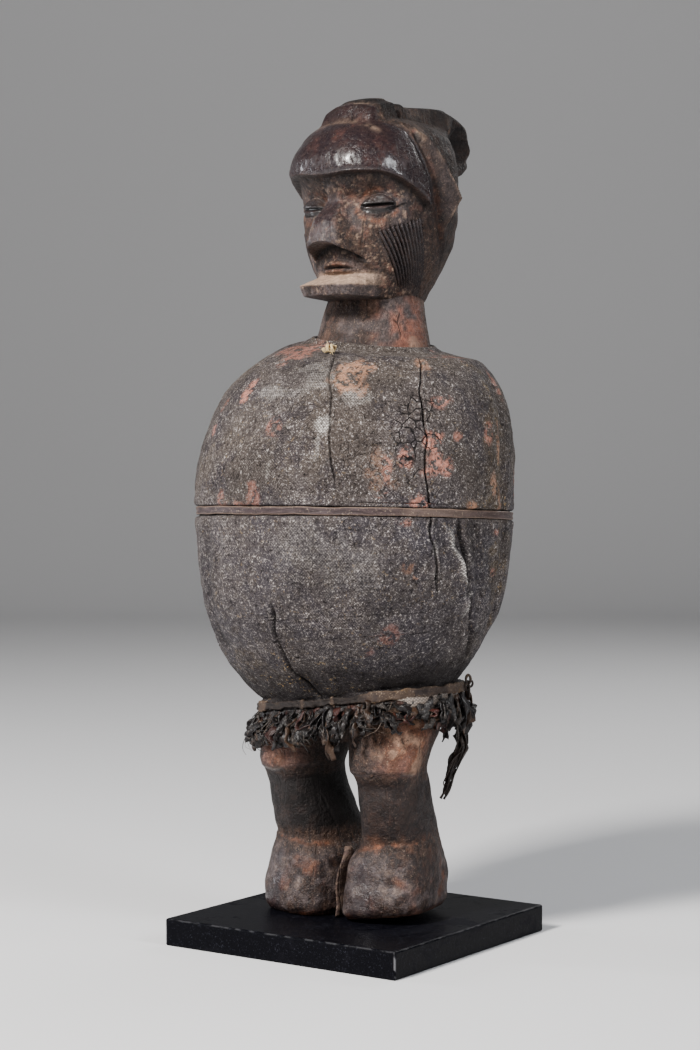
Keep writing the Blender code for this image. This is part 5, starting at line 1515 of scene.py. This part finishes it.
def stripSeat(angle, level, away):
    # the bundle's own section at that level, sunk by the strip's pull, plus away
    width, depth = bundleHalves(level)
    return onBundle(angle, level, sectionReach(angle, width, depth, bundle["square"]) - bundle["stripSink"]
        + away)


def stripTone(angle):
    # painted sheen where noise says and in a bump about the left front; nowhere darkened
    around = roundPoints(angle, strip["round"])
    degrees = np.degrees(angle + math.pi) % 360 - 180
    light = (0.3 * ease(0.0, 0.6, layered(around, 16, 13))
        + 0.35 * bump((degrees - strip["paleAt"]) / strip["paleSpan"]))
    return np.clip(light, 0, 1), np.zeros_like(angle)


stripBand = makeBand("purpleBrownStrip", **strip["finish"])
stripShell = bandShell(stripSeat, bundle["waist"], bundle["stripHigh"], bundle["stripThick"],
    strip["columns"], strip["sides"], stripTone)
waistStrip = buildPiece("waistStrip", [stripShell], stripBand, ["waist_strip"])


def tieSeat(angle, level, away):
    # the cloth's inner face at that level, plus the cloth's thickness and away
    return insideCloth(angle, level, bundle["thick"] + away)


def tieTone(angle):
    # painted sheen and dark stretches from one noise; steps darken the front and right, and a bump the
    # knot's place
    around = roundPoints(angle, ragged["round"])
    degrees = np.degrees(angle + math.pi) % 360 - 180
    noise = layered(around, 6, 23)
    light = 0.5 * ease(-0.1, 0.6, noise)
    hidden = ease(48, 14, degrees) * ease(-120, -70, degrees)
    dark = (hidden * ease(0.55, 0.25, noise) + 0.55 * ease(0.0, 0.5, -noise)
        + 0.8 * bump((degrees - tie["knotAt"]) / 14))
    return light, np.clip(dark, 0, 1)


def knotShells():
    # three short loops of band tied over one another: circles pressed flat, on the tie at its knot
    at = math.radians(tie["knotAt"])
    centre = tieSeat(np.array([at]), np.array([tie["level"]]), np.array([bundle["tieThick"]]))[0]
    outward = np.array([math.sin(at), -math.cos(at), 0])
    aside = np.array([math.cos(at), math.sin(at), bundle["tieRise"]])
    upward = np.array([0, 0, 1.0])
    shells = []
    steps, sides = tie["loopSteps"], tie["loopSides"]
    for index, (dx, dz, wide, tall, pinch, cord, lean) in enumerate(tie["loops"]):
        around = np.arange(steps) * 2 * math.pi / steps
        turn = np.arange(sides) * 2 * math.pi / sides
        middle = (centre + (outward * (0.6 + 0.5 * index) + aside * dx + upward * dz) * mm
            + (np.cos(around)[:, None] * aside * wide * math.cos(lean)
                + np.sin(around)[:, None] * upward * tall * 0.8
                + (np.cos(around) * math.sin(lean) * pinch)[:, None] * outward) * mm)
        along = np.roll(middle, -1, 0) - np.roll(middle, 1, 0)
        along /= np.linalg.norm(along, axis=1, keepdims=True)
        first = np.cross(along, outward)
        first /= np.linalg.norm(first, axis=1, keepdims=True)
        second = np.cross(along, first)
        girth = cord * 0.55 * (1 + 0.15 * np.sin(around * 3 + index))[:, None, None] * mm
        points = middle[:, None] + (first[:, None] * np.cos(turn)[None, :, None]
            + second[:, None] * np.sin(turn)[None, :, None] * 0.7) * girth
        # rubbed edge, painted sheen on the second loop, and dark
        tone = np.broadcast_to(np.array([0.2, 0.35 * (index == 1), 0.75 - 0.5 * (index == 1)]),
            (steps, sides, 3)).copy()
        uv = np.stack(np.broadcast_arrays(np.arange(steps + 1)[:, None] * 0.6 * mm,
                np.arange(sides + 1)[None, :] * 0.5 * mm), -1)
        shells.append(gridShell(points, loop=True, marks={"stainAndLightTint": tone}, uv=uv))
    return shells


tieBand = makeBand("ochreTie", **tie["finish"])
tieShell = bandShell(tieSeat, tie["level"], bundle["tieHigh"], bundle["tieThick"], tie["columns"],
    tie["sides"], tieTone, tie["rough"], tie["strands"])
lowerTie = buildPiece("lowerTie", [tieShell, *knotShells()], tieBand, ["lower_tie"])


def seamKnotShells():
    # straw wound on itself: helices round a short bar, x = r cos(t), z = r sin(t), drifting along the bar
    low, high = (np.array(corner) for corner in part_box("seam_knot"))
    centre, half = (low + high) / 2, (high - low) / 2
    random = np.random.default_rng(straw["seed"])
    shells = []
    for _ in range(straw["strands"]):
        t = np.linspace(0, 2 * math.pi * random.uniform(1.0, 1.9), 44)
        share = t / t[-1] * 2 - 1
        start, lean = random.uniform(0, 6.28), random.uniform(-0.5, 0.5)
        along = (share * random.uniform(0.45, 0.85) + lean * 0.3) * half[0]
        r = half[2] * random.uniform(0.55, 0.85)
        middle = centre + np.stack([along, r * 0.9 * np.cos(t + start), r * np.sin(t + start)], -1)
        path = middle[None]
        across = np.broadcast_to(np.array([1.0, 0, 0.1]), path.shape)
        girth = np.full(path.shape[:2], random.uniform(0.28, 0.5) * mm)
        # rubbed edge, painted sheen and dark for each strand
        tone = np.array([[0.6, random.uniform(0, 0.8), 0.15 * random.random()]])
        shells += ribbonShells(path, across, girth * 1.3, girth * 0.8, tone, 8)
    for _ in range(straw["ends"]):
        s = np.linspace(0, 1, 12)
        aim = np.array([random.normal(0, 0.8), -0.25, random.normal(0, 0.6)])
        aim /= np.linalg.norm(aim)
        reach = random.uniform(2.5, 4.2) * mm
        path = (centre + np.outer(s, aim) * reach + np.outer(s**2, [0, 0, -0.6 * mm]))[None]
        across = np.broadcast_to(np.array([0.3, 0, 1.0]), path.shape)
        girth = (0.24 * (1 - 0.7 * s) * mm)[None]
        # the cut ends: rubbed edge and painted sheen
        shells += ribbonShells(path, across, girth, girth, np.array([[0.9, 0.9, 0.0]]), 5)
    return shells


strawBand = makeBand("dryStraw", **straw["finish"])
seamKnot = buildPiece("seamKnot", seamKnotShells(), strawBand, ["seam_knot"])
print("strip, tie and knot wound")

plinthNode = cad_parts["plinth"]
plinthNode.data.materials.clear()
plinthNode.data.materials.append(makePlinthPaint(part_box("plinth")[1].x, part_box("plinth")[1].z))

# Studio: a pale sweep, soft lights and the camera
studio = {
    "azimuth": 34.49, "distance": 1.0753, "height": 0.22926, "yaw": -0.171, "pitch": 2.0, "lens": 80,
    "floor": (0.66, 0.66, 0.67), "world": (0.80, 0.83, 0.88), "worldStrength": 0.11, "lights": (
        {"name": "keyLight", "azimuth": -5, "high": 1.00, "far": 1.10, "size": (0.24, 0.30), "power": 50,
            "colour": (1.0, 0.97, 0.93)},
        {"name": "fillLight", "azimuth": 84, "high": 0.72, "far": 1.2, "size": (0.25, 0.6), "power": 12,
            "colour": (0.95, 0.97, 1.0)},
        {"name": "leftLight", "azimuth": -72, "high": 0.45, "far": 1.2, "size": (0.14, 0.5), "power": 6,
            "colour": (0.93, 0.95, 1.0)},
        {"name": "backLight", "azimuth": 175, "high": 0.95, "far": 1.3, "size": (0.7, 0.4), "power": 7,
            "colour": (1.0, 1.0, 1.0)},
    ),
}


def makeSweep():
    # a floor that bends up into a wall far behind: quarter circle profile swept sideways
    s = np.linspace(0, 1, 40)
    bend = np.concatenate([np.stack([-3 + 5 * s, 0 * s], -1),
            np.stack([2 + np.sin(s * math.pi / 2), 1 - np.cos(s * math.pi / 2)], -1)[1:],
            np.stack([3 + 0 * s, 1 + 3 * s], -1)[1:]])
    aside = np.linspace(-4, 4, 3)
    azimuth = math.radians(studio["azimuth"])
    away = np.array([-math.sin(azimuth), math.cos(azimuth), 0])
    across = np.array([math.cos(azimuth), math.sin(azimuth), 0])
    points = (bend[:, None, :1] * away + bend[:, None, 1:] * np.array([0, 0, 1.0])
        + aside[None, :, None] * across)
    rows, columns = points.shape[:2]
    index = np.arange(rows * columns).reshape(rows, columns)
    quads = np.stack([index[:-1, :-1], index[:-1, 1:], index[1:, 1:], index[1:, :-1]], -1).reshape(-1, 4)
    mesh = bpy.data.meshes.new("paleSweep")
    mesh.from_pydata(points.reshape(-1, 3).tolist(), [], quads.tolist())
    mesh.shade_smooth()
    material, shader = newMaterial("palePaper", 0.85, 0.2)[:2]
    shader.inputs["Base Color"].default_value = (*studio["floor"], 1)
    mesh.materials.append(material)
    sweep = bpy.data.objects.new("paleSweep", mesh)
    bpy.context.scene.collection.objects.link(sweep)


def makeLights():
    # each light stands at (far sin, -far cos, high) and faces the figure's middle; the world is a pale room
    for light in studio["lights"]:
        data = bpy.data.lights.new(light["name"], "AREA")
        data.shape = "RECTANGLE"
        data.size, data.size_y = light["size"]
        data.energy = light["power"]
        data.color = light["colour"]
        turn = math.radians(light["azimuth"])
        holder = bpy.data.objects.new(light["name"], data)
        spot = np.array([math.sin(turn) * light["far"], -math.cos(turn) * light["far"], light["high"]])
        aim = spot - np.array([0, 0, 0.22])
        aim /= np.linalg.norm(aim)
        across = np.cross([0, 0, 1], aim)
        across /= np.linalg.norm(across)
        upward = np.cross(aim, across)
        holder.matrix_world = Matrix([[across[i], upward[i], aim[i], spot[i]] for i in range(3)]
            + [[0, 0, 0, 1]])
        bpy.context.scene.collection.objects.link(holder)
    world = bpy.data.worlds.new("paleRoom")
    world.use_nodes = True
    background = world.node_tree.nodes["Background"]
    background.inputs[0].default_value = (*studio["world"], 1)
    background.inputs[1].default_value = studio["worldStrength"]
    bpy.context.scene.world = world


def makeCamera():
    # the camera stands at its distance in the azimuth's direction, turned by yaw and tipped down by pitch
    azimuth, yaw, pitch = (math.radians(studio[name]) for name in ("azimuth", "yaw", "pitch"))
    toward = np.array([math.sin(azimuth), -math.cos(azimuth), 0])
    right = np.array([math.cos(azimuth), math.sin(azimuth), 0])
    forward = -toward * math.cos(yaw) + right * math.sin(yaw)
    side = np.cross(forward, [0, 0, 1])
    aim = forward * math.cos(pitch) - np.array([0, 0, 1]) * math.sin(pitch)
    up = np.cross(side, aim)
    spot = toward * studio["distance"] + np.array([0, 0, studio["height"]])
    data = bpy.data.cameras.new("camera")
    data.sensor_fit = "VERTICAL"
    data.sensor_width = data.sensor_height = 36
    data.lens = studio["lens"]
    data.clip_start = 0.01
    camera = bpy.data.objects.new("camera", data)
    camera.matrix_world = Matrix([[side[i], up[i], -aim[i], spot[i]] for i in range(3)] + [[0, 0, 0, 1]])
    bpy.context.scene.collection.objects.link(camera)
    bpy.context.scene.camera = camera


makeSweep()
makeLights()
makeCamera()
bpy.context.view_layer.update()
print("studio set")
